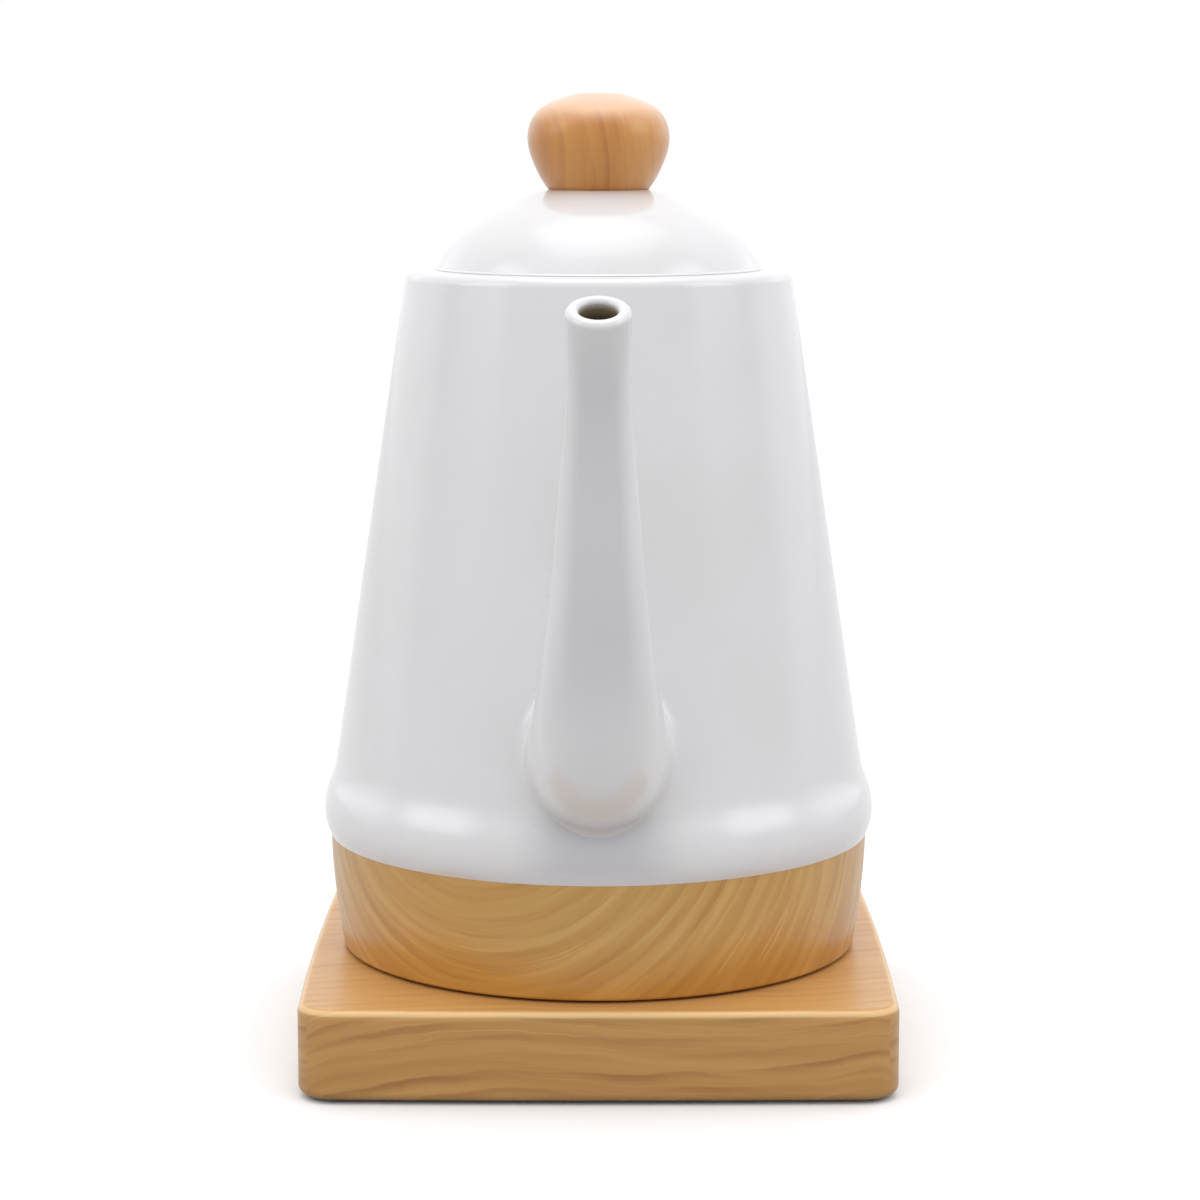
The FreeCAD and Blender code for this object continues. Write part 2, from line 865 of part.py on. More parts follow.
def socket_contacts():
    """Centre pin and two ring blades that dip into the hub's grooves."""
    end = base_top + blade_end_rise
    pin = rod(pin_r, end - 1, socket_top)
    tip = level_edges(pin, end - 1, pin_r - 0.1, pin_r + 0.1)
    made = [pin.makeChamfer(0.6, tip)]
    for radius in blade_radii:
        blade = groove(radius, end, socket_roof, 0.0)
        made.append(fused(blade, blade_posts(radius, 0.0)))
    return group(made)


def plunger_guide_low():
    """Underside of the plunger's guide, above the plunger head's whole travel."""
    return pivot_z + 5.6


def tilted(shape):
    """Switch piece turned up to its off position about the pivot."""
    shape.rotate(Vector(0, pivot_y, pivot_z), Vector(1, 0, 0), lever_tilt)
    return shape


def switch_lever():
    """Rocker: hub on the pin, paddle through the ring's slot, arm to the plunger."""
    outer_y = ring_top_r + paddle_out
    wide_from = pivot_y + 5.5
    hub = rod_x(lever_hub_r, -lever_half_width, lever_half_width, pivot_y, pivot_z)
    low = pivot_z - paddle_half_t
    high = pivot_z + paddle_half_t
    neck = block(-lever_half_width, lever_half_width, pivot_y, wide_from + 1, low, high)
    wide = paddle_half_width
    paddle = block(-wide, wide, wide_from, outer_y, low, high)
    end = [e for e in paddle.Edges if e.BoundBox.YMin > outer_y - 0.01]
    paddle = paddle.makeFillet(paddle_half_t * 0.8, end)
    arm_low = pivot_z - arm_half_t
    arm_high = pivot_z + arm_half_t
    arm_end = pivot_y - arm_reach
    arm = block(-arm_half_width, arm_half_width, arm_end, pivot_y, arm_low, arm_high)
    lever = fused(hub, neck, paddle, arm)
    bore = rod_x(pivot_pin_r + pivot_gap, -20, 20, pivot_y, pivot_z)
    return tilted(lever.cut(bore))


def switch_pin():
    """Steel pin that the rocker turns on."""
    far = lever_half_width + 3.2
    return rod_x(pivot_pin_r, -far, far, pivot_y, pivot_z)


def switch_plunger():
    """Push rod that the rocker's arm lifts to close the contacts."""
    y = pivot_y - plunger_at
    arm_top = pivot_z + arm_half_t - plunger_at * math.sin(math.radians(lever_tilt))
    low = arm_top + 0.45
    stem_top = plunger_guide_low() + 6.5
    head = rod(plunger_head_r, low, low + 1.5, 0, y)
    rounded = head.makeFillet(0.6, [head.Edges[2]])
    return fused(rounded, rod(plunger_r, low + 1.5, stem_top, 0, y))


def lamp_r():
    """Radius of the small indicator lamp."""
    return 2.2


def indicator_lens():
    """Small clear button in the ring below the rocker."""
    inner = ring_inner_r(lens_z - lens_r - 1.2) - 0.4
    outer = ring_section_r(lens_z) + 0.4
    stem = rod_y(lens_r, inner, outer, 0, lens_z)
    face = [e for e in stem.Edges if e.BoundBox.YMin > outer - 0.01]
    stem = stem.makeFillet(0.8, face)
    flange = rod_y(lens_r + 1.2, inner - 1.2, inner, 0, lens_z)
    return fused(stem, flange)


def indicator_lamp():
    """Neon lamp lying in the bottom cover's cradle behind the lens."""
    back = pivot_y - 2
    front = ring_inner_r(lens_z) - 2.4
    lamp = rod_y(lamp_r(), back, front, 0, lens_z)
    nose = [e for e in lamp.Edges if e.BoundBox.YMin > front - 0.01]
    return lamp.makeFillet(1.6, nose)


def kettle_leads():
    """Leads from the control to the element's tabs and to the lamp."""
    made = []
    tab_z = diffuser_under - element_r - 14
    for x, y in element_ends():
        facing = math.copysign(1, x)
        start = math.sqrt(control_r ** 2 - 10.0 ** 2)
        points = [
            (facing * 10, start + 0.8, tab_z - 2),
            (facing * 11, start + 5, tab_z - 2.5),
            (facing * 16, y + 8, tab_z - 3),
            (x, y + 7, tab_z - 1),
            (x, y + 1.5, tab_z + 1),
        ]
        made.append(lead(points, lead_r))
    for facing in (-1, 1):
        x = facing * 1.1
        points = [
            (x, pivot_y - 2, lens_z),
            (x, pivot_y - 14, lens_z),
            (x * 1.6, control_r + 3, lens_z + 1),
            (x * 2.4, control_r - 4, socket_top - 0.5),
        ]
        made.append(lead(points, lead_r * 0.6))
    return group(made)


# ---------------------------------------------------------------- ceramic body
def cone_r(z):
    """Outer radius of the ceramic body's straight cone at a height."""
    start = ring_top + cone_start
    slope = (cone_low_r - cone_top_r) / (rim_top - start)
    return cone_low_r - slope * (z - start)


def body_blank():
    """Solid ceramic outline: bead at the foot, straight cone, rounded rim."""
    start = ring_top + cone_start
    slope = (cone_low_r - cone_top_r) / (rim_top - start)
    bead = Part.BSplineCurve()
    bead_points = [
        (body_edge_r, ring_top),
        (bead_r, ring_top + bead_rise),
        (bead_shoulder_r, ring_top + bead_shoulder_rise),
        (cone_low_r, start),
    ]
    bead.interpolate(
        Points=[on_section(p) for p in bead_points],
        InitialTangent=Vector(0.55, 0, 1),
        FinalTangent=Vector(-slope, 0, 1),
    )
    edges = [
        side((0, ring_top), (body_edge_r, ring_top)),
        bead.toShape(),
        side((cone_low_r, start), (cone_top_r, rim_top)),
        side((cone_top_r, rim_top), (0, rim_top)),
        side((0, rim_top), (0, ring_top)),
    ]
    blank = turned(edges)
    rim = level_edges(blank, rim_top, cone_top_r - 0.1, cone_top_r + 0.1)
    return blank.makeFillet(rim_round, rim)


def body_cavity():
    """Room inside the vessel, its mouth, its floor hole and the heater's pocket."""
    inner_low = cone_r(floor_top + 5) - body_wall
    inner_high = rim_top - mouth_depth - mouth_flare
    corner = 5.0
    drop = corner * (1 - math.sqrt(0.5))
    vessel_edges = [
        side((0, floor_top), (inner_low - corner, floor_top)),
        bow(
            (inner_low - corner, floor_top),
            (inner_low - drop, floor_top + drop),
            (inner_low, floor_top + corner),
        ),
        side((inner_low, floor_top + corner), (cone_r(inner_high) - body_wall, inner_high)),
        side((cone_r(inner_high) - body_wall, inner_high), (mouth_r, rim_top - mouth_depth)),
        side((mouth_r, rim_top - mouth_depth), (mouth_r, rim_top + 1)),
        side((mouth_r, rim_top + 1), (0, rim_top + 1)),
        side((0, rim_top + 1), (0, floor_top)),
    ]
    vessel = turned(vessel_edges)
    hole = rod(floor_hole_r, floor_under - 1, floor_top + 1)
    pocket = rod(skirt_inner_r, ring_top - 1, floor_under)
    return fused(vessel, hole, pocket)


def spout_tip():
    """Centre of the mouth, placed so that the lip's edge is the spout's full reach."""
    middle = spout_lip_r - spout_lip_round
    across = middle * math.cos(math.radians(spout_tilt)) + spout_lip_round
    return -(reach - across), rim_top - spout_tip_drop


def spout_axis():
    """Direction in which the spout ends."""
    tilt = math.radians(spout_tilt)
    return Vector(0, -math.sin(tilt), math.cos(tilt))


def spout_stations():
    """Centre and radius of the spout along its swan neck, as (y, z, outer radius)."""
    tip_y, tip_z = spout_tip()
    root_z = ring_top + spout_root_rise
    root_y = -(cone_r(root_z) - 17)
    neck = [
        (0.00, 0.000, 19.4),
        (0.28, 0.050, 19.0),
        (0.56, 0.135, 17.2),
        (0.745, 0.265, 15.0),
        (0.835, 0.425, 12.5),
        (0.86, 0.600, 10.6),
        (0.885, 0.760, 8.9),
        (0.935, 0.895, 7.9),
        (1.00, 1.000, spout_lip_r),
    ]
    stations = []
    for out, up, r in neck:
        y = root_y + (tip_y - root_y) * out
        z = root_z + (tip_z - root_z) * up
        stations.append((y, z, r))
    return stations


def spout_sections(inset, past):
    """Round sections square to the swan neck, smaller by the inset, and one past its tip."""
    stations = spout_stations()
    tip_y, tip_z = spout_tip()
    beyond = Vector(0, tip_y, tip_z) + spout_axis() * past
    stations.append((beyond.y, beyond.z, spout_lip_r))
    centres = [Vector(0, y, z) for y, z, r in stations]
    spine = Part.BSplineCurve()
    spine.interpolate(
        Points=centres,
        InitialTangent=Vector(0, -1, 0.25),
        FinalTangent=spout_axis(),
    )
    sections = []
    for centre, (y, z, r) in zip(centres, stations):
        along = spine.tangent(spine.parameter(centre))[0]
        size = max(r - inset, spout_hole_r)
        sections.append(Part.Wire(Part.Circle(centre, along, size).toShape()))
    return sections


def blend_root(whole, blank, branch, radius):
    """Fillet along the line where a branch leaves the body's outside."""
    seam = []
    for edge in whole.Edges:
        middle = Part.Vertex(edge.valueAt((edge.FirstParameter + edge.LastParameter) / 2))
        near_blank = min(face.distToShape(middle)[0] for face in blank.Faces)
        near_branch = min(face.distToShape(middle)[0] for face in branch.Faces)
        if near_blank < 0.001 and near_branch < 0.001:
            seam.append(edge)
    return whole.makeFillet(radius, seam)


def with_spout(blank):
    """Body with the spout's outside blended on."""
    neck = Part.makeLoft(spout_sections(0.0, spout_lip_rise), True, False)
    return blend_root(blank.fuse(neck), blank, neck, spout_blend)


def with_stubs(body):
    """Body with the two round stubs that the handle is screwed to."""
    for z in stub_z:
        stub = rod_y(stub_r, cone_r(z) - body_wall / 2, stub_end(z), 0, z)
        whole = body.fuse(stub)
        body = blend_root(whole, body, stub, stub_blend)
    return body


def stub_end(z):
    """How far back a stub's flat end stands."""
    return cone_r(z) + stub_length


def lip_edges(shape, r):
    """The edges of one radius in the plane where the spout ends."""
    tip_y, tip_z = spout_tip()
    middle = Vector(0, tip_y, tip_z) + spout_axis() * spout_lip_rise
    found = []
    for edge in shape.Edges:
        span = edge.LastParameter - edge.FirstParameter
        spots = [edge.valueAt(edge.FirstParameter + span * share) for share in (0.0, 0.4, 1.0)]
        level = all(abs((spot - middle).dot(spout_axis())) < 0.02 for spot in spots)
        if level and all(abs((spot - middle).Length - r) < 0.3 for spot in spots):
            found.append(edge)
    return found


def whole_ceramic():
    """Glazed vessel, spout and handle stubs as they are after firing."""
    body = with_stubs(with_spout(body_blank()))
    bore = Part.makeLoft(spout_sections(spout_wall, 2 * spout_lip_r), True, False)
    sockets = []
    for z in stub_z:
        end = stub_end(z)
        sockets.append(rod_y(insert_r + fit, end - insert_depth, end + 1, 0, z))
    body = cut_by(body, body_cavity(), bore, *sockets)
    mouth_edge = level_edges(body, rim_top, mouth_r - 0.1, mouth_r + 0.1)
    body = body.makeFillet(rim_inner_round, mouth_edge)
    body = body.makeFillet(spout_lip_round, lip_edges(body, spout_lip_r))
    return body.makeFillet(spout_lip_inner_round, lip_edges(body, spout_hole_r))


def spout_side():
    """All the space in front of the flat joint where the spout is luted on."""
    low, high = ring_top + spout_root_rise, rim_top
    lean = math.degrees(math.atan((cone_r(low) - cone_r(high)) / (high - low)))
    joint_y = -cone_r(low) - spout_joint_out
    space = block(-reach, reach, joint_y - reach, joint_y, low - reach, high + reach)
    return space.rotate(Vector(0, joint_y, low), Vector(1, 0, 0), -lean)


def ceramic_body():
    """Vessel with its handle stubs and the short root that the spout is luted to."""
    return whole_ceramic().cut(spout_side())


def ceramic_spout():
    """Spout, cast on its own and luted to the vessel's root."""
    return whole_ceramic().common(spout_side())


# ---------------------------------------------------------------- handle
def handle_path():
    """Centre line of the grip: out from the upper stub, down, and back in."""
    far = reach - handle_depth / 2
    high, low = stub_z
    top_start = stub_end(high) + ferrule_t
    low_start = stub_end(low) + ferrule_t
    bend = min(handle_bend, (high - low) / 2 - 1, far - low_start - 1)
    drop = bend * (1 - math.sqrt(0.5))

    def point(y, z):
        return Vector(0, y, z)

    edges = [
        Part.LineSegment(point(top_start, high), point(far - bend, high)),
        Part.Arc(point(far - bend, high), point(far - drop, high - drop), point(far, high - bend)),
        Part.LineSegment(point(far, high - bend), point(far, low + bend)),
        Part.Arc(point(far, low + bend), point(far - drop, low + drop), point(far - bend, low)),
        Part.LineSegment(point(far - bend, low), point(low_start, low)),
    ]
    return Part.Wire([edge.toShape() for edge in edges])


def grip_blank():
    """Grip before drilling: an oval section swept along the handle's path."""
    start = stub_end(stub_z[0]) + ferrule_t
    oval = Part.Ellipse(
        Vector(handle_width / 2, start, stub_z[0]),
        Vector(0, start, stub_z[0] + handle_depth / 2),
        Vector(0, start, stub_z[0]),
    )
    return handle_path().makePipeShell([Part.Wire(oval.toShape())], True, False)


def handle_bore(z, r, y0):
    """Drilling into the grip from behind, along a stub's axis."""
    return rod_y(r, y0, reach + 5, 0, z)


def screw_seat(z):
    """Where a handle screw's head bears inside the grip."""
    return stub_end(z) - insert_depth + 1 + handle_screw_length


def handle_grip():
    """Wooden grip, drilled and counterbored from behind for its two screws."""
    grip = grip_blank()
    for z in stub_z:
        shank = rod_y(handle_screw_r + 0.2, stub_end(z), screw_seat(z) + 1, 0, z)
        grip = cut_by(grip, shank, handle_bore(z, handle_head_r + 0.2, screw_seat(z)))
    return grip


def handle_plugs():
    """Wooden plugs that close the counterbores flush with the grip."""
    made = []
    for z in stub_z:
        start = screw_seat(z) + handle_head_t + 0.3
        made.append(grip_blank().common(handle_bore(z, handle_head_r + 0.2, start)))
    return group(made)


def handle_ferrules():
    """Metal collars between the ceramic stubs and the wooden grip."""
    made = []
    for z in stub_z:
        start = stub_end(z)
        disc = rod_y(ferrule_r, start, start + ferrule_t, 0, z)
        rims = [e for e in disc.Edges if e.BoundBox.YLength < 0.01]
        disc = disc.makeFillet(0.8, rims)
        made.append(disc.cut(rod_y(handle_screw_r + 0.2, start - 1, start + 5, 0, z)))
    return group(made)


def handle_inserts():
    """Threaded brass sockets cemented into the ceramic stubs."""
    made = []
    for z in stub_z:
        end = stub_end(z)
        bush = rod_y(insert_r, end - insert_depth, end, 0, z)
        made.append(bush.cut(rod_y(handle_screw_r + fit, end - insert_depth + 0.8, end, 0, z)))
    return group(made)


def handle_screws():
    """Two long screws from the grip's back into the stubs' inserts."""
    made = []
    for z in stub_z:
        seat = screw_seat(z)
        shank = rod_y(handle_screw_r, seat - handle_screw_length, seat, 0, z)
        head = rod_y(handle_head_r, seat, seat + handle_head_t, 0, z)
        socket = rod_y(1.5, seat + 1.0, seat + handle_head_t, 0, z)
        made.append(fused(shank, head).cut(socket))
    return group(made)


# ---------------------------------------------------------------- lid
def dome_point(a, b, r):
    """Point of an ellipse about the dome's centre at a radius."""
    return r, dome_centre + b * math.sqrt(1 - (r / a) ** 2)


def dome_arc(a, b, r0, r1):
    """Stretch of the dome's ellipse between two radii, a larger one first."""
    ellipse = Part.Ellipse(
        Vector(a, 0, dome_centre),
        Vector(0, 0, dome_centre + b),
        Vector(0, 0, dome_centre),
    )
    start = ellipse.parameter(on_section(dome_point(a, b, r0)))
    end = ellipse.parameter(on_section(dome_point(a, b, r1)))
    return Part.ArcOfEllipse(ellipse, min(start, end), max(start, end)).toShape()


def lid_shell():
    """Domed ceramic lid with a seat for the knob and a skirt into the mouth."""
    inner_a = dome_a - dome_wall
    inner_b = dome_b - dome_wall
    skirt_in = lid_skirt_r - lid_skirt_wall
    skirt_low = lid_bottom - lid_skirt_depth
    seat_edge = dome_point(dome_a, dome_b, seat_r)
    inner_join = dome_point(inner_a, inner_b, skirt_in)
    edges = [
        dome_arc(dome_a, dome_b, dome_edge_r, seat_r),
        side(seat_edge, (seat_r - 0.3, seat_z)),
        side((seat_r - 0.3, seat_z), (0, seat_z)),
        side((0, seat_z), (0, dome_centre + inner_b)),
        dome_arc(inner_a, inner_b, skirt_in, 0.0),
        side(inner_join, (skirt_in, skirt_low)),
        side((skirt_in, skirt_low), (lid_skirt_r, skirt_low)),
        side((lid_skirt_r, skirt_low), (lid_skirt_r, lid_bottom)),
        side((lid_skirt_r, lid_bottom), (dome_edge_r, lid_bottom)),
    ]
    lid = turned(edges)
    groove_low, groove_high = seal_span()
    ring = tube(lid_skirt_r + 1, lid_skirt_r - seal_bite, groove_low, groove_high)
    hole = rod(lid_screw_r + 0.2, dome_centre, seat_z + 1)
    vent = rod(vent_r, dome_centre, dome_top, 0, vent_at)
    return cut_by(lid, ring, hole, vent)


def seal_span():
    """Lower and upper height of the lid seal."""
    middle = lid_bottom - lid_skirt_depth * 0.5
    return middle - seal_height / 2, middle + seal_height / 2


def lid_seal():
    """Silicone ring in the skirt's groove that keeps the lid from rattling."""
    low, high = seal_span()
    inner = lid_skirt_r - seal_bite
    outer = mouth_r - seal_gap
    middle = (low + high) / 2
    edges = [
        side((inner, low), (lid_skirt_r, low)),
        bow((lid_skirt_r, low), (outer, middle), (lid_skirt_r, high)),
        side((lid_skirt_r, high), (inner, high)),
        side((inner, high), (inner, low)),
    ]
    return turned(edges)


def lid_knob():
    """Turned wooden knob: narrow foot, full round top."""
    top = seat_z + knob_height
    outline = Part.BSplineCurve()
    points = [
        (knob_base_r, seat_z),
        (knob_base_r + 3.4, seat_z + 5.4),
        (knob_r, seat_z + knob_widest),
        (knob_r - 3.4, seat_z + knob_height - 4.3),
        (knob_r - 11.0, seat_z + knob_height - 0.9),
        (0, top),
    ]
    outline.interpolate(
        Points=[on_section(p) for p in points],
        InitialTangent=Vector(0.95, 0, 1),
        FinalTangent=Vector(-1, 0, 0),
    )
    edges = [
        outline.toShape(),
        side((0, top), (0, seat_z)),
        side((0, seat_z), (knob_base_r, seat_z)),
    ]
    knob = turned(edges)
    return knob.cut(rod(insert_r + fit, seat_z, seat_z + 12))


def knob_insert():
    """Threaded brass bush pressed up into the knob."""
    bush = rod(insert_r, seat_z, seat_z + 12)
    return bush.cut(rod(lid_screw_r + fit, seat_z, seat_z + 11))


def lid_washer():
    """Silicone washer under the lid screw's head."""
    top = dome_centre + dome_b - dome_wall
    low = top - 2.0
    body = rod(6.0, low, top).cut(rod(lid_screw_r + 0.2, low, top))
    return body.common(dome_underside())


def dome_underside():
    """Room below the dome's inner face."""
    inner_a = dome_a - dome_wall
    inner_b = dome_b - dome_wall
    edges = [
        dome_arc(inner_a, inner_b, inner_a * 0.9, 0.0),
        side((0, dome_centre + inner_b), (0, dome_centre)),
        side((0, dome_centre), (inner_a * 0.9, dome_centre)),
        side((inner_a * 0.9, dome_centre), dome_point(inner_a, inner_b, inner_a * 0.9)),
    ]
    return turned(edges)


def lid_screw():
    """Screw from inside the lid up into the knob's bush."""
    seat = dome_centre + dome_b - dome_wall - 2.0
    return screw(lid_screw_r, lid_screw_length, 4.0, 2.4, 0, 0, seat)


# ---------------------------------------------------------------- write every node
builders = [
    base_cover,
    base_plate,
    base_feet,
    base_screws,
    base_connector,
    base_contacts,
    connector_screws,
    terminal_block,
    base_leads,
    cord_gland,
    connector_shroud,
    housing_ring,
    body_collar,
    bottom_cover,
    bottom_cover_screws,
    kettle_feet,
    heater_plate,
    heater_seal,
    diffuser_plate,
    heater_element,
    heater_terminals,
    control_block,
    bimetal_discs,
    control_screws,
    kettle_connector,
    socket_contacts,
    kettle_leads,
    switch_lever,
    switch_pin,
    switch_plunger,
    indicator_lens,
    indicator_lamp,
    ceramic_body,
    ceramic_spout,
    handle_grip,
    handle_plugs,
    handle_ferrules,
    handle_inserts,
    handle_screws,
    lid_shell,
    lid_seal,
    lid_knob,
    knob_insert,
    lid_washer,
    lid_screw,
]

os.makedirs("parts", exist_ok=True)
for builder in builders:
    shape = builder()
    shape.exportStep("parts/" + builder.__name__ + ".step")
    print(builder.__name__, shape.isValid(), len(shape.Solids), round(shape.Volume, 1))
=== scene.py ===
import json
import math

import bmesh
import bpy
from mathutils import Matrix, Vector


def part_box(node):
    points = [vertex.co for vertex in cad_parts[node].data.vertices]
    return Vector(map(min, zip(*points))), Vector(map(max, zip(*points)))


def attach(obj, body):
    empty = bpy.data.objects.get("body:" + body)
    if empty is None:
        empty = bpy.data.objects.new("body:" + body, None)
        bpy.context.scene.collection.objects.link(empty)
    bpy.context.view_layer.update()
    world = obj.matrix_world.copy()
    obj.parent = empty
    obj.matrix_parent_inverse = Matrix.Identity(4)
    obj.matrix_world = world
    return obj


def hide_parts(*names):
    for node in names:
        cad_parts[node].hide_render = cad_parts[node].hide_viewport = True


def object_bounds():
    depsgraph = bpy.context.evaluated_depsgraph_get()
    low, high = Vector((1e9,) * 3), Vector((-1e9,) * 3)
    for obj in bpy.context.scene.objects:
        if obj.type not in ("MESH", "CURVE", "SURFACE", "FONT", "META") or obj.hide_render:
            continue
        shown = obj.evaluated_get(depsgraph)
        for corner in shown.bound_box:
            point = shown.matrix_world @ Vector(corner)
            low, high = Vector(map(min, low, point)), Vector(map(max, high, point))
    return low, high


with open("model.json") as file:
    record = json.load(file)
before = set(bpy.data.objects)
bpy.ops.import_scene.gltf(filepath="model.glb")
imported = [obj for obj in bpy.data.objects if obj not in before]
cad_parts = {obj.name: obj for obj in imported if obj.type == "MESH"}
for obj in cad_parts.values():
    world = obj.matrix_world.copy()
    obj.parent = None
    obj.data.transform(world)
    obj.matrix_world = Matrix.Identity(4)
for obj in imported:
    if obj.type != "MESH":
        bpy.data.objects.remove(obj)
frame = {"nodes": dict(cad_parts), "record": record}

cad_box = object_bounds()
nodes = frame["nodes"]

# ---------------------------------------------------------------- worktop, studio and camera
# A plain pale worktop in a white studio, under one broad softbox. Pale panels at each side and
# low ones behind show in the glaze as upright reflections, and leave its front greyer.
bpy.context.scene.view_settings.view_transform = "Standard"


def new_material(name):
    """An empty node material and its tree."""
    material = bpy.data.materials.new(name)
    material.use_nodes = True
    tree = material.node_tree
    tree.nodes.clear()
    return material, tree


def feed(tree, socket, value):
    """Joins a node's output to a socket, or sets the socket's own value."""
    if isinstance(value, bpy.types.NodeSocket):
        tree.links.new(value, socket)
    else:
        socket.default_value = value


def add(tree, kind, settings=None, **inputs):
    """Adds a node. Inputs go by name, with underscores for spaces, or by number as i0, i1, i2."""
    node = tree.nodes.new(kind)
    for key, value in (settings or {}).items():
        setattr(node, key, value)
    for key, value in inputs.items():
        by_number = key[0] == "i" and key[1:].isdigit()
        feed(tree, node.inputs[int(key[1:]) if by_number else key.replace("_", " ")], value)
    return node


def maths(tree, operation, *values):
    """One Math node's result."""
    node = add(tree, "ShaderNodeMath", {"operation": operation})
    for socket, value in zip(node.inputs, values):
        feed(tree, socket, value)
    return node.outputs[0]


def product(tree, *values):
    """Any number of values multiplied together."""
    total = values[0]
    for value in values[1:]:
        total = maths(tree, "MULTIPLY", total, value)
    return total


def smooth_step(tree, value, low, high, bottom=0.0, top=1.0):
    """An eased change from bottom, where the value is low, to top, where it is high."""
    return add(
        tree, "ShaderNodeMapRange", {"interpolation_type": "SMOOTHSTEP"},
        Value=value, From_Min=low, From_Max=high, To_Min=bottom, To_Max=top,
    ).outputs["Result"]


def blend(tree, mask, low, high):
    """Two numbers mixed by a mask."""
    return add(tree, "ShaderNodeMix", None, i0=mask, i2=low, i3=high).outputs[0]


def blend_colour(tree, mask, low, high, mode="MIX"):
    """Two colours mixed by a mask."""
    node = add(tree, "ShaderNodeMix", {"data_type": "RGBA", "blend_type": mode}, i0=mask, i6=low, i7=high)
    return node.outputs[2]


def axes_of(tree, vector):
    """A vector's X, Y and Z."""
    return add(tree, "ShaderNodeSeparateXYZ", None, Vector=vector).outputs


def noise(tree, where, scale, detail=2.0, **more):
    """Soft noise from 0 to 1, with the given number of waves to the metre."""
    node = add(tree, "ShaderNodeTexNoise", None, Vector=where, Scale=scale, Detail=detail, **more)
    return node.outputs["Fac"]


def place_on(tree):
    """Where each point lies on the object."""
    return add(tree, "ShaderNodeTexCoord").outputs["Object"]


def surface(tree, **inputs):
    """The Principled shader of a material, joined to its output."""
    shader = add(tree, "ShaderNodeBsdfPrincipled", None, **inputs)
    output = add(tree, "ShaderNodeOutputMaterial")
    tree.links.new(shader.outputs[0], output.inputs["Surface"])


softbox = bpy.data.lights.new("overhead_softbox", "AREA")
softbox.shape = "RECTANGLE"
softbox.size = softbox.size_y = 0.9
softbox.energy = 1.2
softbox.color = (1.0, 0.99, 0.97)
hung = bpy.data.objects.new("overhead_softbox", softbox)
bpy.context.collection.objects.link(hung)
hung.location = (0.0, 0.0, 1.2)

studio = bpy.data.worlds.new("studio")
studio.use_nodes = True
bpy.context.scene.world = studio
air = studio.node_tree
air.nodes.clear()
compass = axes_of(air, add(air, "ShaderNodeTexCoord").outputs["Generated"])
to_degrees = math.degrees(1.0)
turn = maths(air, "ARCTAN2", maths(air, "ABSOLUTE", compass[0]), product(air, compass[1], -1.0))
turn = product(air, turn, to_degrees)
climb = product(air, maths(air, "ARCSINE", compass[2]), to_degrees)


def panel(turns, climbs, brightness):
    """A softbox mirrored in the glaze, between two turns from the front and two heights, in degrees."""
    edge = 7.0
    for value, (low, high) in ((turn, turns), (climb, climbs)):
        rises = smooth_step(air, value, low - edge, low + edge)
        falls = smooth_step(air, value, high + edge, high - edge)
        brightness = product(air, brightness, rises, falls)
    return brightness


front_to_back = smooth_step(air, turn, low=40.0, high=150.0, bottom=0.94, top=0.78)
wall_to_ceiling = smooth_step(air, climb, low=0.0, high=55.0, bottom=0.0, top=0.56)
lit_by = maths(air, "ADD", front_to_back, wall_to_ceiling)
mirrored_walls = smooth_step(air, turn, low=95.0, high=103.0, bottom=0.85, top=1.14)
mirrored_ceiling = smooth_step(air, climb, low=56.0, high=84.0, bottom=0.0, top=1.2)
mirrored = maths(air, "ADD", mirrored_walls, mirrored_ceiling)
side_panels = panel(turns=(57.0, 90.0), climbs=(12.0, 42.0), brightness=1.7)
back_panels = panel(turns=(106.0, 150.0), climbs=(4.0, 20.0), brightness=0.35)
mirrored = maths(air, "ADD", maths(air, "ADD", mirrored, side_panels), back_panels)
rays = add(air, "ShaderNodeLightPath").outputs
glow = blend(air, rays["Is Glossy Ray"], lit_by, mirrored)
around = add(air, "ShaderNodeBackground", None, Color=(0.98, 0.983, 1.0, 1.0), Strength=glow).outputs[0]
seen = add(air, "ShaderNodeBackground", None, Color=(1.0, 1.0, 1.0, 1.0), Strength=1.0).outputs[0]
either = add(air, "ShaderNodeMixShader", None, i0=rays["Is Camera Ray"], i1=around, i2=seen)
horizon = add(air, "ShaderNodeOutputWorld")
air.links.new(either.outputs[0], horizon.inputs["Surface"])

worktop_reach = 6.0
in_turn = ((-1, -1), (1, -1), (1, 1), (-1, 1))
worktop_corners = [(x * worktop_reach, y * worktop_reach, 0.0) for x, y in in_turn]
worktop_mesh = bpy.data.meshes.new("worktop")
worktop_mesh.from_pydata(worktop_corners, [], [(0, 1, 2, 3)])
worktop = bpy.data.objects.new("worktop", worktop_mesh)
bpy.context.collection.objects.link(worktop)
worktop_finish, tree = new_material("worktop_white")
speckle = noise(tree, place_on(tree), 60.0, 3.0)
tone = blend_colour(tree, speckle, (0.93, 0.93, 0.93, 1.0), (0.96, 0.96, 0.96, 1.0))
rays = add(tree, "ShaderNodeLightPath").outputs
share_mirrored = 0.62
mirrored_top = product(tree, rays["Is Glossy Ray"], share_mirrored)
looked_at = maths(tree, "MAXIMUM", rays["Is Camera Ray"], mirrored_top)
dimmed = blend_colour(tree, looked_at, (0.36, 0.36, 0.36, 1.0), tone)
surface(tree, Base_Color=dimmed, Roughness=0.9, Specular_IOR_Level=0.0)
worktop_mesh.materials.append(worktop_finish)

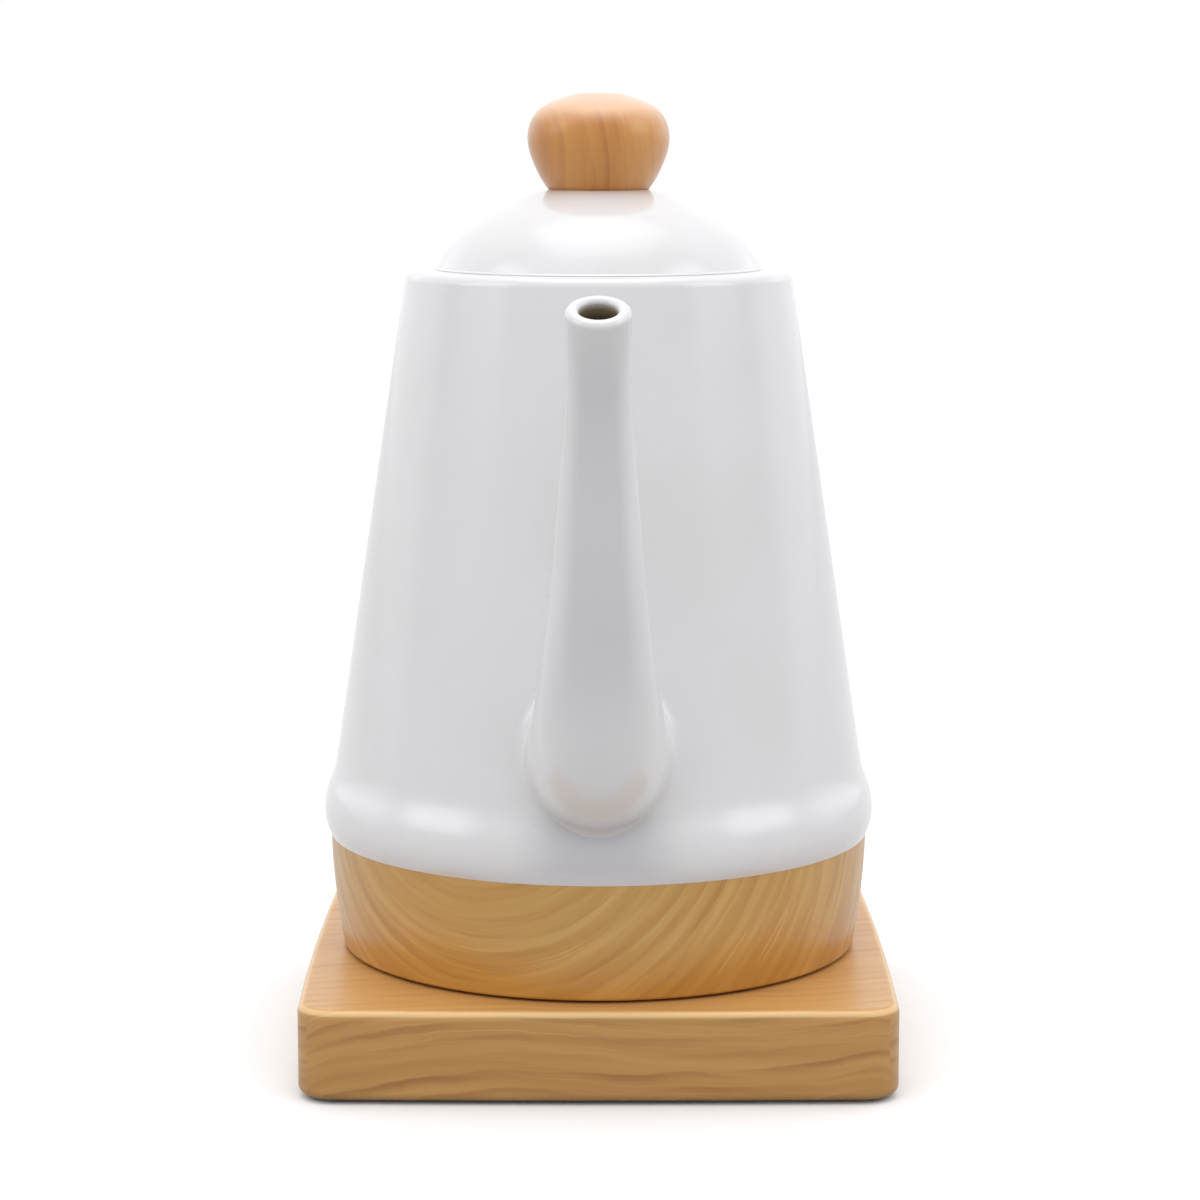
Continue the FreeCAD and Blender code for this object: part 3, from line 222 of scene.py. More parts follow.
lens = bpy.data.cameras.new("camera")
lens.lens = 101.8
lens.sensor_width = 36.0
lens.clip_end = 20.0
eye = bpy.data.objects.new("camera", lens)
bpy.context.collection.objects.link(eye)
eye.location = (0.0004, -0.9354, 0.2598)
look_down = 8.4
eye.rotation_euler = (math.radians(90 - look_down), 0.0, 0.0)
bpy.context.scene.camera = eye

# ---------------------------------------------------------------- power base shell
# The square block is a moulded plastic shell with a printed wood film under satin lacquer.
# The film's growth lines run along the front, dip at its left end and climb at its right.
NUMBER = "NodeSocketFloat"
COLOUR = "NodeSocketColor"
VECTOR = "NodeSocketVector"


def shade(red, green, blue):
    """A finish's colour as a swatch card gives it, from 0 to 255, turned into light."""
    linear = []
    for part in (red / 255, green / 255, blue / 255):
        linear.append(part / 12.92 if part <= 0.04045 else ((part + 0.055) / 1.055) ** 2.4)
    return (*linear, 1.0)


def new_group(name, takes, gives):
    """A shader node group with its inputs, {name: (type, value)}, and its outputs, {name: type}."""
    tree = bpy.data.node_groups.new(name, "ShaderNodeTree")
    for label, (kind, value) in takes.items():
        socket = tree.interface.new_socket(label, in_out="INPUT", socket_type=kind)
        if value is not None:
            socket.default_value = value
    for label, kind in gives.items():
        tree.interface.new_socket(label, in_out="OUTPUT", socket_type=kind)
    return tree, tree.nodes.new("NodeGroupInput").outputs, tree.nodes.new("NodeGroupOutput").inputs


def give(tree, made, **results):
    """Joins results to a group's outputs."""
    for label, result in results.items():
        tree.links.new(result, made[label])


def group_of(tree, group, **inputs):
    """Places a shared group in a material, its inputs by name, and hands back its outputs."""
    node = add(tree, "ShaderNodeGroup", {"node_tree": group})
    for label, value in inputs.items():
        feed(tree, node.inputs[label], value)
    return node.outputs


def vector_maths(tree, operation, *values, **scale):
    """One Vector Math node's result: a number for a length or a dot product, else a vector."""
    node = add(tree, "ShaderNodeVectorMath", {"operation": operation}, **scale)
    for socket, value in zip(node.inputs, values):
        feed(tree, socket, value)
    return node.outputs["Value" if operation in ("LENGTH", "DOT_PRODUCT") else "Vector"]


def vector_of(tree, **parts):
    """A vector from its X, Y and Z, each 0 where it isn't given."""
    return add(tree, "ShaderNodeCombineXYZ", None, **parts).outputs[0]


# Growth lines: Distance is how far each point is from the tree's heart, in metres. Streaks run
# along the lines, and are closer together the higher Streak is.
figure, given, made = new_group(
    "wood_figure",
    {
        "Position": (VECTOR, None),
        "Distance": (NUMBER, 0.0),
        "Spacing": (NUMBER, 0.004),
        "Waver": (NUMBER, 0.0012),
        "Streak": (NUMBER, 600.0),
        "Ground": (COLOUR, shade(190, 145, 85)),
        "Late": (COLOUR, shade(150, 100, 55)),
        "Pale": (COLOUR, shade(214, 182, 130)),
        "Line_strength": (NUMBER, 0.6),
    },
    {"Color": COLOUR, "Lines": NUMBER, "Height": NUMBER},
)


def along_lines(reach, across, detail=3.0, offset=0.0):
    """Noise drawn out along the growth lines: slow along them, quick across."""
    run = vector_maths(figure, "SCALE", given["Position"], Scale=reach)
    step = vector_of(figure, X=product(figure, depth, across), Y=offset)
    return noise(figure, vector_maths(figure, "ADD", run, step), 1.0, detail, Roughness=0.6)


swing = maths(figure, "SUBTRACT", noise(figure, given["Position"], 24.0, 3.0), 0.5)
swing = product(figure, swing, product(figure, given["Waver"], 4.0))
jitter = maths(figure, "SUBTRACT", noise(figure, given["Position"], 110.0), 0.5)
jitter = product(figure, jitter, given["Waver"])
depth = maths(figure, "ADD", given["Distance"], maths(figure, "ADD", swing, jitter))
count = maths(figure, "DIVIDE", depth, given["Spacing"])
season = maths(figure, "FRACT", count)
year = maths(figure, "FLOOR", count)
chance = add(figure, "ShaderNodeTexWhiteNoise", {"noise_dimensions": "1D"}, W=year).outputs["Value"]
bold = maths(figure, "MULTIPLY_ADD", chance, 0.75, 0.25)
rising = smooth_step(figure, season, 0.30, 0.84)
falling = smooth_step(figure, season, 1.0, 0.87)
broken = smooth_step(figure, along_lines(26.0, 130.0), 0.36, 0.62)
late = product(figure, rising, falling, bold, broken)
hair_count = 4.3
hair = maths(figure, "FRACT", product(figure, count, hair_count))
hair = maths(figure, "ABSOLUTE", maths(figure, "MULTIPLY_ADD", hair, 2.0, -1.0))
hair = maths(figure, "POWER", maths(figure, "SUBTRACT", 1.0, hair), 3.0)
hair = product(figure, hair, smooth_step(figure, along_lines(40.0, 210.0, offset=4.0), 0.5, 0.72))
fibre = along_lines(70.0, given["Streak"], detail=4.0, offset=9.0)
bands = smooth_step(figure, along_lines(16.0, 150.0, detail=2.0, offset=17.0), 0.38, 0.72)
pale = along_lines(34.0, product(figure, given["Streak"], 0.55), offset=23.0)
pale = smooth_step(figure, pale, 0.57, 0.70)
ground = blend_colour(figure, product(figure, fibre, 0.34), given["Ground"], given["Late"])
ground = blend_colour(figure, bands, ground, blend_colour(figure, 0.5, ground, given["Pale"]))
ground = blend_colour(figure, product(figure, pale, 0.5), ground, given["Pale"])
strength = product(figure, maths(figure, "MULTIPLY_ADD", hair, 0.45, late), given["Line_strength"])
painted = blend_colour(figure, maths(figure, "MINIMUM", strength, 1.0), ground, given["Late"])
height = maths(figure, "SUBTRACT", product(figure, fibre, 0.5), product(figure, late, 0.5))
give(figure, made, Color=painted, Lines=late, Height=height)


def relief(tree, height, distance):
    """A bump of the given depth in metres, ready for a shader's Normal."""
    return add(tree, "ShaderNodeBump", None, Height=height, Distance=distance, Strength=1.0).outputs["Normal"]


def varnished(tree, wood, colour, late_dull, gloss, **coat):
    """Wood, or a print of it, under lacquer: a little duller on its late growth lines."""
    grain_depth = 0.0000016
    surface(
        tree, Base_Color=colour, Roughness=maths(tree, "MULTIPLY_ADD", wood["Lines"], late_dull, gloss),
        Normal=relief(tree, wood["Height"], grain_depth), **coat,
    )


def put_on(material, *names):
    """Gives CAD nodes their finish."""
    for name in names:
        nodes[name].data.materials[0] = material


base_print, tree = new_material("base_wood_print")
coordinates = add(tree, "ShaderNodeTexCoord").outputs
along, back, up = axes_of(tree, coordinates["Object"])
half_side = cad_box[1][0]
end_rise = 0.0085
far_heart = 1.0
reach = maths(tree, "DIVIDE", along, half_side)
rise = product(tree, maths(tree, "POWER", maths(tree, "ABSOLUTE", reach), 3.0), maths(tree, "SIGN", reach))
depth = maths(tree, "SUBTRACT", up, product(tree, rise, end_rise))
top_lean = 0.8
end_lean = 0.12
over_top = product(tree, back, top_lean)
round_end = maths(tree, "MULTIPLY_ADD", maths(tree, "ADD", back, half_side), end_lean, -top_lean * half_side)
facing = axes_of(tree, coordinates["Normal"])
on_end = maths(tree, "GREATER_THAN", maths(tree, "ABSOLUTE", facing[0]), 0.7)
wrapped = blend(tree, on_end, over_top, round_end)
depth = maths(tree, "ADD", maths(tree, "ADD", depth, wrapped), far_heart)
wood = group_of(
    tree, figure, Position=coordinates["Object"], Distance=depth, Spacing=0.0048, Waver=0.0013, Streak=1100.0,
    Ground=shade(192, 144, 80), Late=shade(142, 90, 42), Pale=shade(212, 167, 100), Line_strength=0.62,
)
# Painted light: the top face is blended paler and more orange, as lit from above.
painted_top_light = smooth_step(tree, facing[2], 0.5, 0.95)
film = blend_colour(tree, product(tree, painted_top_light, 0.42), wood["Color"], shade(232, 178, 110))
# Painted highlight: a pale band on the rounded edge between the top and the sides.
upright = maths(tree, "SQRT", maths(tree, "SUBTRACT", 1.0, product(tree, facing[2], facing[2])))
painted_edge_highlight = smooth_step(tree, product(tree, facing[2], upright), 0.26, 0.5)
film = blend_colour(tree, product(tree, painted_edge_highlight, 0.5), film, shade(248, 214, 160))
varnished(tree, wood, film, 0.08, 0.34, Specular_IOR_Level=0.42, Coat_Weight=0.12, Coat_Roughness=0.22)
put_on(base_print, "base_cover")

# ---------------------------------------------------------------- base plate, feet and screws
# The underside is a moulded plate of dark plastic, held by four self-cutting screws in deep
# wells. Four ribbed rubber pads are pressed into its corners and carry the whole kettle.
moulded_skin, given, made = new_group(
    "moulded_skin",
    {
        "Position": (VECTOR, None),
        "Colour": (COLOUR, shade(30, 30, 32)),
        "Worn": (COLOUR, shade(60, 60, 62)),
        "Gloss": (NUMBER, 0.5),
        "Grain": (NUMBER, 1500.0),
    },
    {"Color": COLOUR, "Roughness": NUMBER, "Height": NUMBER},
)
spark = noise(moulded_skin, given["Position"], given["Grain"])
rubbed = smooth_step(moulded_skin, noise(moulded_skin, given["Position"], 35.0, 3.0), 0.45, 0.75)
coat = blend_colour(moulded_skin, product(moulded_skin, rubbed, 0.5), given["Colour"], given["Worn"])
dull = maths(moulded_skin, "SUBTRACT", given["Gloss"], product(moulded_skin, rubbed, 0.08))
give(moulded_skin, made, Color=coat, Roughness=dull, Height=spark)


def moulded(name, colour, worn, gloss, grain=1500.0, depth=0.00003):
    """A moulded plastic or rubber with a fine spark-eroded skin."""
    material, tree = new_material(name)
    skin = group_of(
        tree, moulded_skin, Position=place_on(tree), Colour=colour, Worn=worn, Gloss=gloss, Grain=grain,
    )
    surface(
        tree, Base_Color=skin["Color"], Roughness=skin["Roughness"],
        Normal=relief(tree, skin["Height"], depth),
    )
    return material


cut_lines, given, made = new_group(
    "cut_lines",
    {
        "Position": (VECTOR, None),
        "Travel": (NUMBER, 0.0),
        "Colour": (COLOUR, shade(190, 190, 188)),
        "Shade": (COLOUR, shade(150, 150, 148)),
        "Gloss": (NUMBER, 0.28),
    },
    {"Color": COLOUR, "Roughness": NUMBER, "Height": NUMBER},
)
stroke = add(
    cut_lines, "ShaderNodeTexNoise", {"noise_dimensions": "1D"}, W=given["Travel"], Scale=1.0, Detail=3.0,
).outputs["Fac"]
dullness = noise(cut_lines, given["Position"], 90.0, 3.0)
metal_tone = blend_colour(cut_lines, stroke, given["Colour"], given["Shade"])
metal_rough = maths(cut_lines, "MULTIPLY_ADD", dullness, 0.14, given["Gloss"])
give(cut_lines, made, Color=metal_tone, Roughness=metal_rough, Height=stroke)


def cut_metal(name, colour, darker, gloss, pitch=0.0004, depth=0.000006, along_y=False):
    """A metal with fine lines left by turning: round the kettle's axis, or stepping along Y."""
    material, tree = new_material(name)
    place = place_on(tree)
    x, y, _ = axes_of(tree, place)
    reach = y
    if not along_y:
        reach = maths(tree, "SQRT", maths(tree, "ADD", product(tree, x, x), product(tree, y, y)))
    lines = group_of(
        tree, cut_lines, Position=place, Travel=maths(tree, "DIVIDE", reach, pitch),
        Colour=colour, Shade=darker, Gloss=gloss,
    )
    surface(
        tree, Base_Color=lines["Color"], Roughness=lines["Roughness"], Metallic=1.0,
        Normal=relief(tree, lines["Height"], depth),
    )
    return material


def shape_tree(name, takes):
    """A Geometry Nodes tree fed with Places, named sizes and a Finish, with one mesh coming out."""
    tree = bpy.data.node_groups.new(name, "GeometryNodeTree")
    tree.interface.new_socket("Geometry", in_out="OUTPUT", socket_type="NodeSocketGeometry")
    tree.interface.new_socket("Places", in_out="INPUT", socket_type="NodeSocketGeometry")
    for label, (kind, value) in takes.items():
        tree.interface.new_socket(label, in_out="INPUT", socket_type=kind).default_value = value
    tree.interface.new_socket("Finish", in_out="INPUT", socket_type="NodeSocketMaterial")
    return tree, tree.nodes.new("NodeGroupInput").outputs


def close_tree(tree, shape, given, smooth=False):
    """Ends a tree: instances made real, shading set, and the finish put on."""
    real = add(tree, "GeometryNodeRealizeInstances", None, Geometry=shape)
    shaded = add(tree, "GeometryNodeSetShadeSmooth", None, Geometry=real.outputs[0], Shade_Smooth=smooth)
    coated = add(tree, "GeometryNodeSetMaterial", None, Geometry=shaded.outputs[0], Material=given["Finish"])
    tree.links.new(coated.outputs[0], tree.nodes.new("NodeGroupOutput").inputs[0])


def grown(name, tree, places, finish, edges=(), **sizes):
    """Runs a tree on an object whose mesh is its places, and keeps the result as a plain mesh."""
    seed = bpy.data.meshes.new(name)
    seed.from_pydata(places, edges, [])
    piece = bpy.data.objects.new(name, seed)
    bpy.context.collection.objects.link(piece)
    maker = piece.modifiers.new("maker", "NODES")
    maker.node_group = tree
    sizes["Finish"] = finish
    for socket in tree.interface.items_tree:
        if socket.in_out == "INPUT" and socket.name in sizes:
            maker[socket.identifier] = sizes[socket.name]
    shown = piece.evaluated_get(bpy.context.evaluated_depsgraph_get())
    piece.data = bpy.data.meshes.new_from_object(shown)
    piece.modifiers.clear()
    return piece


def belongs(piece, body, slot, *replaced):
    """Fixes a piece to its body and hides the CAD nodes that it stands for. slot is not used."""
    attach(piece, body)
    if replaced:
        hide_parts(*replaced)


dark_moulding = moulded("dark_moulding", shade(34, 34, 36), shade(52, 52, 54), 0.52)
pad_rubber = moulded("pad_rubber", shade(26, 26, 26), shade(46, 45, 44), 0.78, grain=900.0, depth=0.00006)
zinc = cut_metal("zinc_plate", shade(172, 174, 176), shade(132, 134, 138), 0.3, pitch=0.0003)
put_on(dark_moulding, "base_plate")


def lifted(tree, shape, height):
    """A shape moved up by a height."""
    upward = vector_of(tree, Z=height)
    return add(tree, "GeometryNodeTransform", None, Geometry=shape, Translation=upward).outputs[0]


def drum_from(tree, radius, low, high, sides):
    """A round bar between two heights."""
    tall = maths(tree, "SUBTRACT", high, low)
    bar = add(tree, "GeometryNodeMeshCylinder", None, Vertices=sides, Radius=radius, Depth=tall)
    return lifted(tree, bar.outputs["Mesh"], product(tree, maths(tree, "ADD", high, low), 0.5))


def joined(tree, *shapes):
    """Several shapes as one."""
    both = tree.nodes.new("GeometryNodeJoinGeometry")
    for shape in shapes:
        tree.links.new(shape, both.inputs[0])
    return both.outputs[0]


def laid_at(tree, points, shape, **more):
    """A shape set at each of the points."""
    return add(tree, "GeometryNodeInstanceOnPoints", None, Points=points, Instance=shape, **more).outputs[0]


def round_wire(tree, line, sides, radius, **more):
    """A wire of round section along a line."""
    section = add(tree, "GeometryNodeCurvePrimitiveCircle", None, Resolution=sides, Radius=radius).outputs[0]
    return add(tree, "GeometryNodeCurveToMesh", None, Curve=line, Profile_Curve=section, **more).outputs[0]


WHOLE = "NodeSocketInt"
pads, given = shape_tree(
    "ribbed_pads",
    {
        "Radius": (NUMBER, 0.007),
        "Low": (NUMBER, 0.0),
        "High": (NUMBER, 0.002),
        "Rib_radius": (NUMBER, 0.0005),
        "Rib_count": (WHOLE, 4),
    },
)
rib_height = maths(pads, "ADD", given["Low"], given["Rib_radius"])
drum = drum_from(pads, given["Radius"], rib_height, given["High"], 64)
first_rib = 0.9
outer_rib = 0.9
rib_number = maths(pads, "ADD", add(pads, "GeometryNodeInputIndex").outputs[0], first_rib)
ring_radius = maths(pads, "DIVIDE", rib_number, given["Rib_count"])
ring_radius = product(pads, ring_radius, given["Radius"], outer_rib)
ring_points = add(pads, "GeometryNodePoints", None, Count=given["Rib_count"]).outputs[0]
circle = add(pads, "GeometryNodeCurvePrimitiveCircle", None, Resolution=48, Radius=1.0).outputs[0]
ring_scale = vector_of(pads, X=ring_radius, Y=ring_radius, Z=ring_radius)
rings = laid_at(pads, ring_points, circle, Scale=ring_scale)
rings = add(pads, "GeometryNodeRealizeInstances", None, Geometry=rings).outputs[0]
ribs = lifted(pads, round_wire(pads, rings, 8, given["Rib_radius"]), rib_height)
close_tree(pads, laid_at(pads, given["Places"], joined(pads, drum, ribs)), given)


def corners(node, radius, height=0.0):
    """The centres of four like round pieces, from the box that holds them all."""
    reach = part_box(node)[1][0] - radius
    return [(x, y, height) for x in (-reach, reach) for y in (-reach, reach)]


foot_r = 0.007
foot_low, foot_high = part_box("base_feet")
feet = grown(
    "base_feet_ribbed", pads, corners("base_feet", foot_r), pad_rubber,
    Radius=foot_r, Low=foot_low[2], High=foot_high[2], Rib_radius=0.0005, Rib_count=4,
)
belongs(feet, "base", "rubber", "base_feet")

screws, given = shape_tree(
    "cross_head_screws",
    {
        "Head_radius": (NUMBER, 0.0028),
        "Head_height": (NUMBER, 0.0018),
        "Shank_radius": (NUMBER, 0.0015),
        "Length": (NUMBER, 0.012),
        "Thread_pitch": (NUMBER, 0.0008),
        "Slot_width": (NUMBER, 0.0009),
        "Slot_depth": (NUMBER, 0.0011),
        "Turned": (VECTOR, (0.0, 0.0, 0.0)),
    },
)
recess = screws.nodes.new("GeometryNodeMeshBoolean")
recess.operation = "DIFFERENCE"
head = drum_from(screws, given["Head_radius"], 0.0, given["Head_height"], 40)
screws.links.new(head, recess.inputs["Mesh 1"])
blade_long = product(screws, given["Head_radius"], 1.25)
blade_deep = product(screws, given["Slot_depth"], 2.0)
for wide, deep in ((blade_long, given["Slot_width"]), (given["Slot_width"], blade_long)):
    blade = vector_of(screws, X=wide, Y=deep, Z=blade_deep)
    blade = add(screws, "GeometryNodeMeshCube", None, Size=blade).outputs["Mesh"]
    screws.links.new(blade, recess.inputs["Mesh 2"])
shank = drum_from(screws, given["Shank_radius"], given["Head_height"], given["Length"], 24)
threaded = maths(screws, "SUBTRACT", given["Length"], given["Head_height"])
spiral = add(
    screws, "GeometryNodeCurveSpiral", None, Resolution=20, Height=threaded,
    Rotations=maths(screws, "DIVIDE", threaded, given["Thread_pitch"]),
    Start_Radius=given["Shank_radius"], End_Radius=given["Shank_radius"],
).outputs[0]
thread = round_wire(screws, spiral, 4, product(screws, given["Thread_pitch"], 0.26), Fill_Caps=True)
thread = lifted(screws, thread, given["Head_height"])
turned = add(screws, "FunctionNodeEulerToRotation", None, Euler=given["Turned"]).outputs[0]
screw = joined(screws, recess.outputs[0], shank, thread)
close_tree(screws, laid_at(screws, given["Places"], screw, Rotation=turned), given)


cover_head_r = 0.0028


def screw_in(body, node, places, **own_sizes):
    """Cross-head screws of zinc-plated steel, in place of a CAD node's plain ones."""
    low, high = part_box(node)
    sizes = {
        "Head_radius": cover_head_r, "Head_height": 0.0018, "Shank_radius": 0.00125,
        "Thread_pitch": 0.0011, "Length": high[2] - low[2],
    }
    sizes.update(own_sizes)
    belongs(grown(node + "_cross", screws, places, zinc, **sizes), body, "screw_steel", node)


screw_in("base", "base_screws", corners("base_screws", cover_head_r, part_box("base_screws")[0][2]))

# ---------------------------------------------------------------- base connector and wiring
# The round hub in the middle of the base carries the live ring and pin contacts, and the
# kettle turns on it. A loose grey collar takes the wear. Its wiring lies inside the shell.
grey_moulding = moulded("grey_moulding", shade(120, 121, 124), shade(140, 141, 143), 0.45)
white_moulding = moulded("white_moulding", shade(222, 221, 216), shade(206, 204, 198), 0.42)
wire_sleeve = moulded("wire_sleeve", shade(150, 60, 38), shade(120, 46, 30), 0.4)
contact_brass = cut_metal("contact_brass", shade(214, 172, 92), shade(168, 126, 62), 0.24)
put_on(dark_moulding, "base_connector")
put_on(grey_moulding, "connector_shroud")
put_on(contact_brass, "base_contacts")
put_on(white_moulding, "terminal_block")
put_on(wire_sleeve, "base_leads")
put_on(pad_rubber, "cord_gland")
low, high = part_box("connector_screws")
hub_screw_at = high[0] - cover_head_r
hub_places = [(-hub_screw_at, 0.0, high[2]), (hub_screw_at, 0.0, high[2])]
screw_in("base", "connector_screws", hub_places, Turned=(math.pi, 0.0, 0.0))

# ---------------------------------------------------------------- housing ring
# The ring round the foot is moulded plastic wrapped in the same kind of printed film.
# The print is of a board cut near the heart, so its lines are nested arcs round one centre.
ring_print, tree = new_material("ring_wood_print")
x, y, z = axes_of(tree, place_on(tree))
low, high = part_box("housing_ring")
angle = maths(tree, "ARCTAN2", x, product(tree, y, -1.0))
film = vector_of(tree, X=product(tree, angle, high[0]), Y=z)
heart_of_tree = (-0.030, 0.092, 0.0)
from_heart = vector_maths(tree, "LENGTH", vector_maths(tree, "SUBTRACT", film, heart_of_tree))
wood = group_of(
    tree, figure, Position=film, Distance=from_heart, Spacing=0.0046, Waver=0.0009, Streak=1000.0,
    Ground=shade(200, 154, 84), Late=shade(158, 104, 46), Pale=shade(224, 185, 118), Line_strength=0.42,
)
# Painted reflection and shade: the ring is darkened and warmed towards its foot, next to the wooden base.
near_ring_foot = smooth_step(tree, z, low[2] + 0.020, low[2] + 0.002)
painted_base_reflection = blend_colour(tree, near_ring_foot, wood["Color"], (0.93, 0.80, 0.56, 1.0), mode="MULTIPLY")
varnished(tree, wood, painted_base_reflection, 0.08, 0.32, Specular_IOR_Level=0.42, Coat_Weight=0.12, Coat_Roughness=0.2)
put_on(ring_print, "housing_ring")

# ---------------------------------------------------------------- kettle's underside
# A dark moulded cover closes the ring from below, screwed to four towers, with three rubber
# pads and the socket that drops over the base's hub.
put_on(white_moulding, "body_collar")
put_on(dark_moulding, "bottom_cover", "kettle_connector")
put_on(pad_rubber, "kettle_feet")
put_on(contact_brass, "socket_contacts")
tower_places = corners("bottom_cover_screws", cover_head_r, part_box("bottom_cover_screws")[0][2])
screw_in("kettle", "bottom_cover_screws", tower_places)

# ---------------------------------------------------------------- heater and control
# The vessel's floor is a pressed stainless plate on a silicone gasket, with a sheathed
# element under an aluminium spreader, and the control with its bimetal discs below.
steel = cut_metal("stainless", shade(196, 196, 192), shade(160, 160, 158), 0.22, pitch=0.0007)
aluminium = cut_metal("aluminium_plate", shade(205, 205, 207), shade(176, 176, 180), 0.36, pitch=0.0009)
white_silicone = moulded("white_silicone", shade(214, 212, 206), shade(196, 193, 186), 0.6, grain=600.0)
put_on(steel, "heater_plate", "heater_element")
put_on(aluminium, "diffuser_plate")
put_on(white_silicone, "heater_seal")
put_on(contact_brass, "heater_terminals", "bimetal_discs")
put_on(white_moulding, "control_block")
put_on(zinc, "control_screws")
put_on(wire_sleeve, "kettle_leads")

# ---------------------------------------------------------------- rocker switch and lamp
# A black rocker stands out of the ring under the handle, with moulded ribs for the thumb.
# Its arm lifts a white push rod, and an amber lens below it shows when the heater is on.
rocker_black = moulded("rocker_black", shade(24, 24, 26), shade(38, 38, 40), 0.3, grain=2200.0, depth=0.00001)
put_on(rocker_black, "switch_lever")
put_on(steel, "switch_pin")
put_on(white_moulding, "switch_plunger")

ridges, given = shape_tree(
    "thumb_ridges",
    {
        "Width": (NUMBER, 0.016),
        "Radius": (NUMBER, 0.0004),
        "Pitch": (NUMBER, 0.0016),
        "Count": (WHOLE, 4),
        "Tilt": (NUMBER, 0.0),
    },
)
row = vector_of(ridges, Y=product(ridges, add(ridges, "GeometryNodeInputIndex").outputs[0], given["Pitch"]))
ridge_points = add(ridges, "GeometryNodePoints", None, Count=given["Count"], Position=row).outputs[0]
half_ridge = product(ridges, given["Width"], 0.5)
ridge_line = add(
    ridges, "GeometryNodeCurvePrimitiveLine", None,
    Start=vector_of(ridges, X=product(ridges, half_ridge, -1.0)), End=vector_of(ridges, X=half_ridge),
).outputs[0]
ridge_bar = round_wire(ridges, ridge_line, 12, given["Radius"], Fill_Caps=True)
lean = add(ridges, "FunctionNodeEulerToRotation", None, Euler=vector_of(ridges, X=given["Tilt"])).outputs[0]
ridge_set = laid_at(ridges, ridge_points, ridge_bar)
close_tree(ridges, laid_at(ridges, given["Places"], ridge_set, Rotation=lean), given, smooth=True)

for joint in frame["record"]["behaviour"]["joints"]:
    if joint["name"] == "switch_rock":
        pivot = joint["pos_m"]
rocker_tilt = math.radians(6.0)
rocker_half_thick = 0.0025
first_ridge = 0.0165
ridge_y = pivot[1] + first_ridge * math.cos(rocker_tilt) - rocker_half_thick * math.sin(rocker_tilt)
ridge_z = pivot[2] + first_ridge * math.sin(rocker_tilt) + rocker_half_thick * math.cos(rocker_tilt)
thumb_grip = grown(
    "rocker_thumb_ridges", ridges, [(0.0, ridge_y, ridge_z)], rocker_black,
    Width=0.0165, Radius=0.00035, Pitch=0.0015, Count=5, Tilt=rocker_tilt,
)
belongs(thumb_grip, "switch", "lever_plastic")

amber, tree = new_material("amber_lens")
fleck = noise(tree, place_on(tree), 300.0)
surface(
    tree, Base_Color=blend_colour(tree, fleck, shade(250, 150, 70), shade(238, 120, 44)),
    Roughness=maths(tree, "MULTIPLY_ADD", fleck, 0.12, 0.05), Transmission_Weight=0.85, IOR=1.49,
    Normal=relief(tree, fleck, 0.00001),
)
put_on(amber, "indicator_lens")
lamp_glass, tree = new_material("lamp_glass")
fleck = noise(tree, place_on(tree), 500.0)
surface(
    tree, Base_Color=blend_colour(tree, fleck, shade(250, 236, 226), shade(240, 214, 198)),
    Roughness=maths(tree, "MULTIPLY_ADD", fleck, 0.1, 0.03), Transmission_Weight=0.9, IOR=1.5,
)
put_on(lamp_glass, "indicator_lamp")

# ---------------------------------------------------------------- ceramic body
# The body and the handle's stubs are slip-cast in one piece and fired with a thick white
# glaze. It has a faint orange peel, and a painted shadow greys the bead under the spout.
glaze_skin, given, made = new_group(
    "glaze_skin",
    {
        "Position": (VECTOR, None),
        "Thick": (COLOUR, shade(236, 236, 238)),
        "Thin": (COLOUR, shade(226, 224, 222)),
    },
    {"Color": COLOUR, "Roughness": NUMBER, "Height": NUMBER},
)
pool = noise(glaze_skin, given["Position"], 22.0, 3.0)
peel = noise(glaze_skin, given["Position"], 420.0)
slow = noise(glaze_skin, given["Position"], 45.0, 1.0)
pinholes = add(glaze_skin, "ShaderNodeTexVoronoi", None, Vector=given["Position"], Scale=160.0)
pits = smooth_step(glaze_skin, pinholes.outputs["Distance"], 0.06, 0.02)
tint = blend_colour(glaze_skin, smooth_step(glaze_skin, pool, 0.35, 0.7), given["Thick"], given["Thin"])
smoothness = maths(glaze_skin, "MULTIPLY_ADD", pool, 0.06, 0.12)
ripple = maths(glaze_skin, "MULTIPLY_ADD", slow, 2.0, product(glaze_skin, peel, 0.5))
ripple = maths(glaze_skin, "SUBTRACT", ripple, product(glaze_skin, pits, 0.3))
give(glaze_skin, made, Color=tint, Roughness=smoothness, Height=ripple)


def glazed(name, change=None, clear_coat=0.5):
    """White glaze over stoneware. change, if given, alters its colour and roughness by place."""
    material, tree = new_material(name)
    coordinates = add(tree, "ShaderNodeTexCoord").outputs
    skin = group_of(
        tree, glaze_skin, Position=coordinates["Object"],
        Thick=shade(224, 223, 224), Thin=shade(221, 219, 219),
    )
    colour, rough = skin["Color"], skin["Roughness"]
    if change:
        colour, rough = change(tree, coordinates, colour, rough)
    ripple_depth = 0.00002
    surface(
        tree, Base_Color=colour, Roughness=rough, Coat_Weight=clear_coat, Coat_Roughness=0.08,
        Normal=relief(tree, skin["Height"], ripple_depth),
    )
    return material


def painted_spout_shadow(tree, coordinates, colour, rough):
    """Painted shadow: the glaze made greyer on the bead, in the hollow under the spout's foot."""
    x, y, z = axes_of(tree, coordinates["Object"])
    # The mask of the painted shadow under the spout's foot.
    under = product(
        tree, smooth_step(tree, maths(tree, "ABSOLUTE", x), 0.025, 0.007),
        smooth_step(tree, y, -0.050, -0.066),
        smooth_step(tree, z, 0.0575, 0.0635),
        smooth_step(tree, z, 0.080, 0.073),
    )
    return blend_colour(tree, under, colour, shade(200, 199, 201)), rough


put_on(glazed("white_glaze_body", painted_spout_shadow), "ceramic_body")
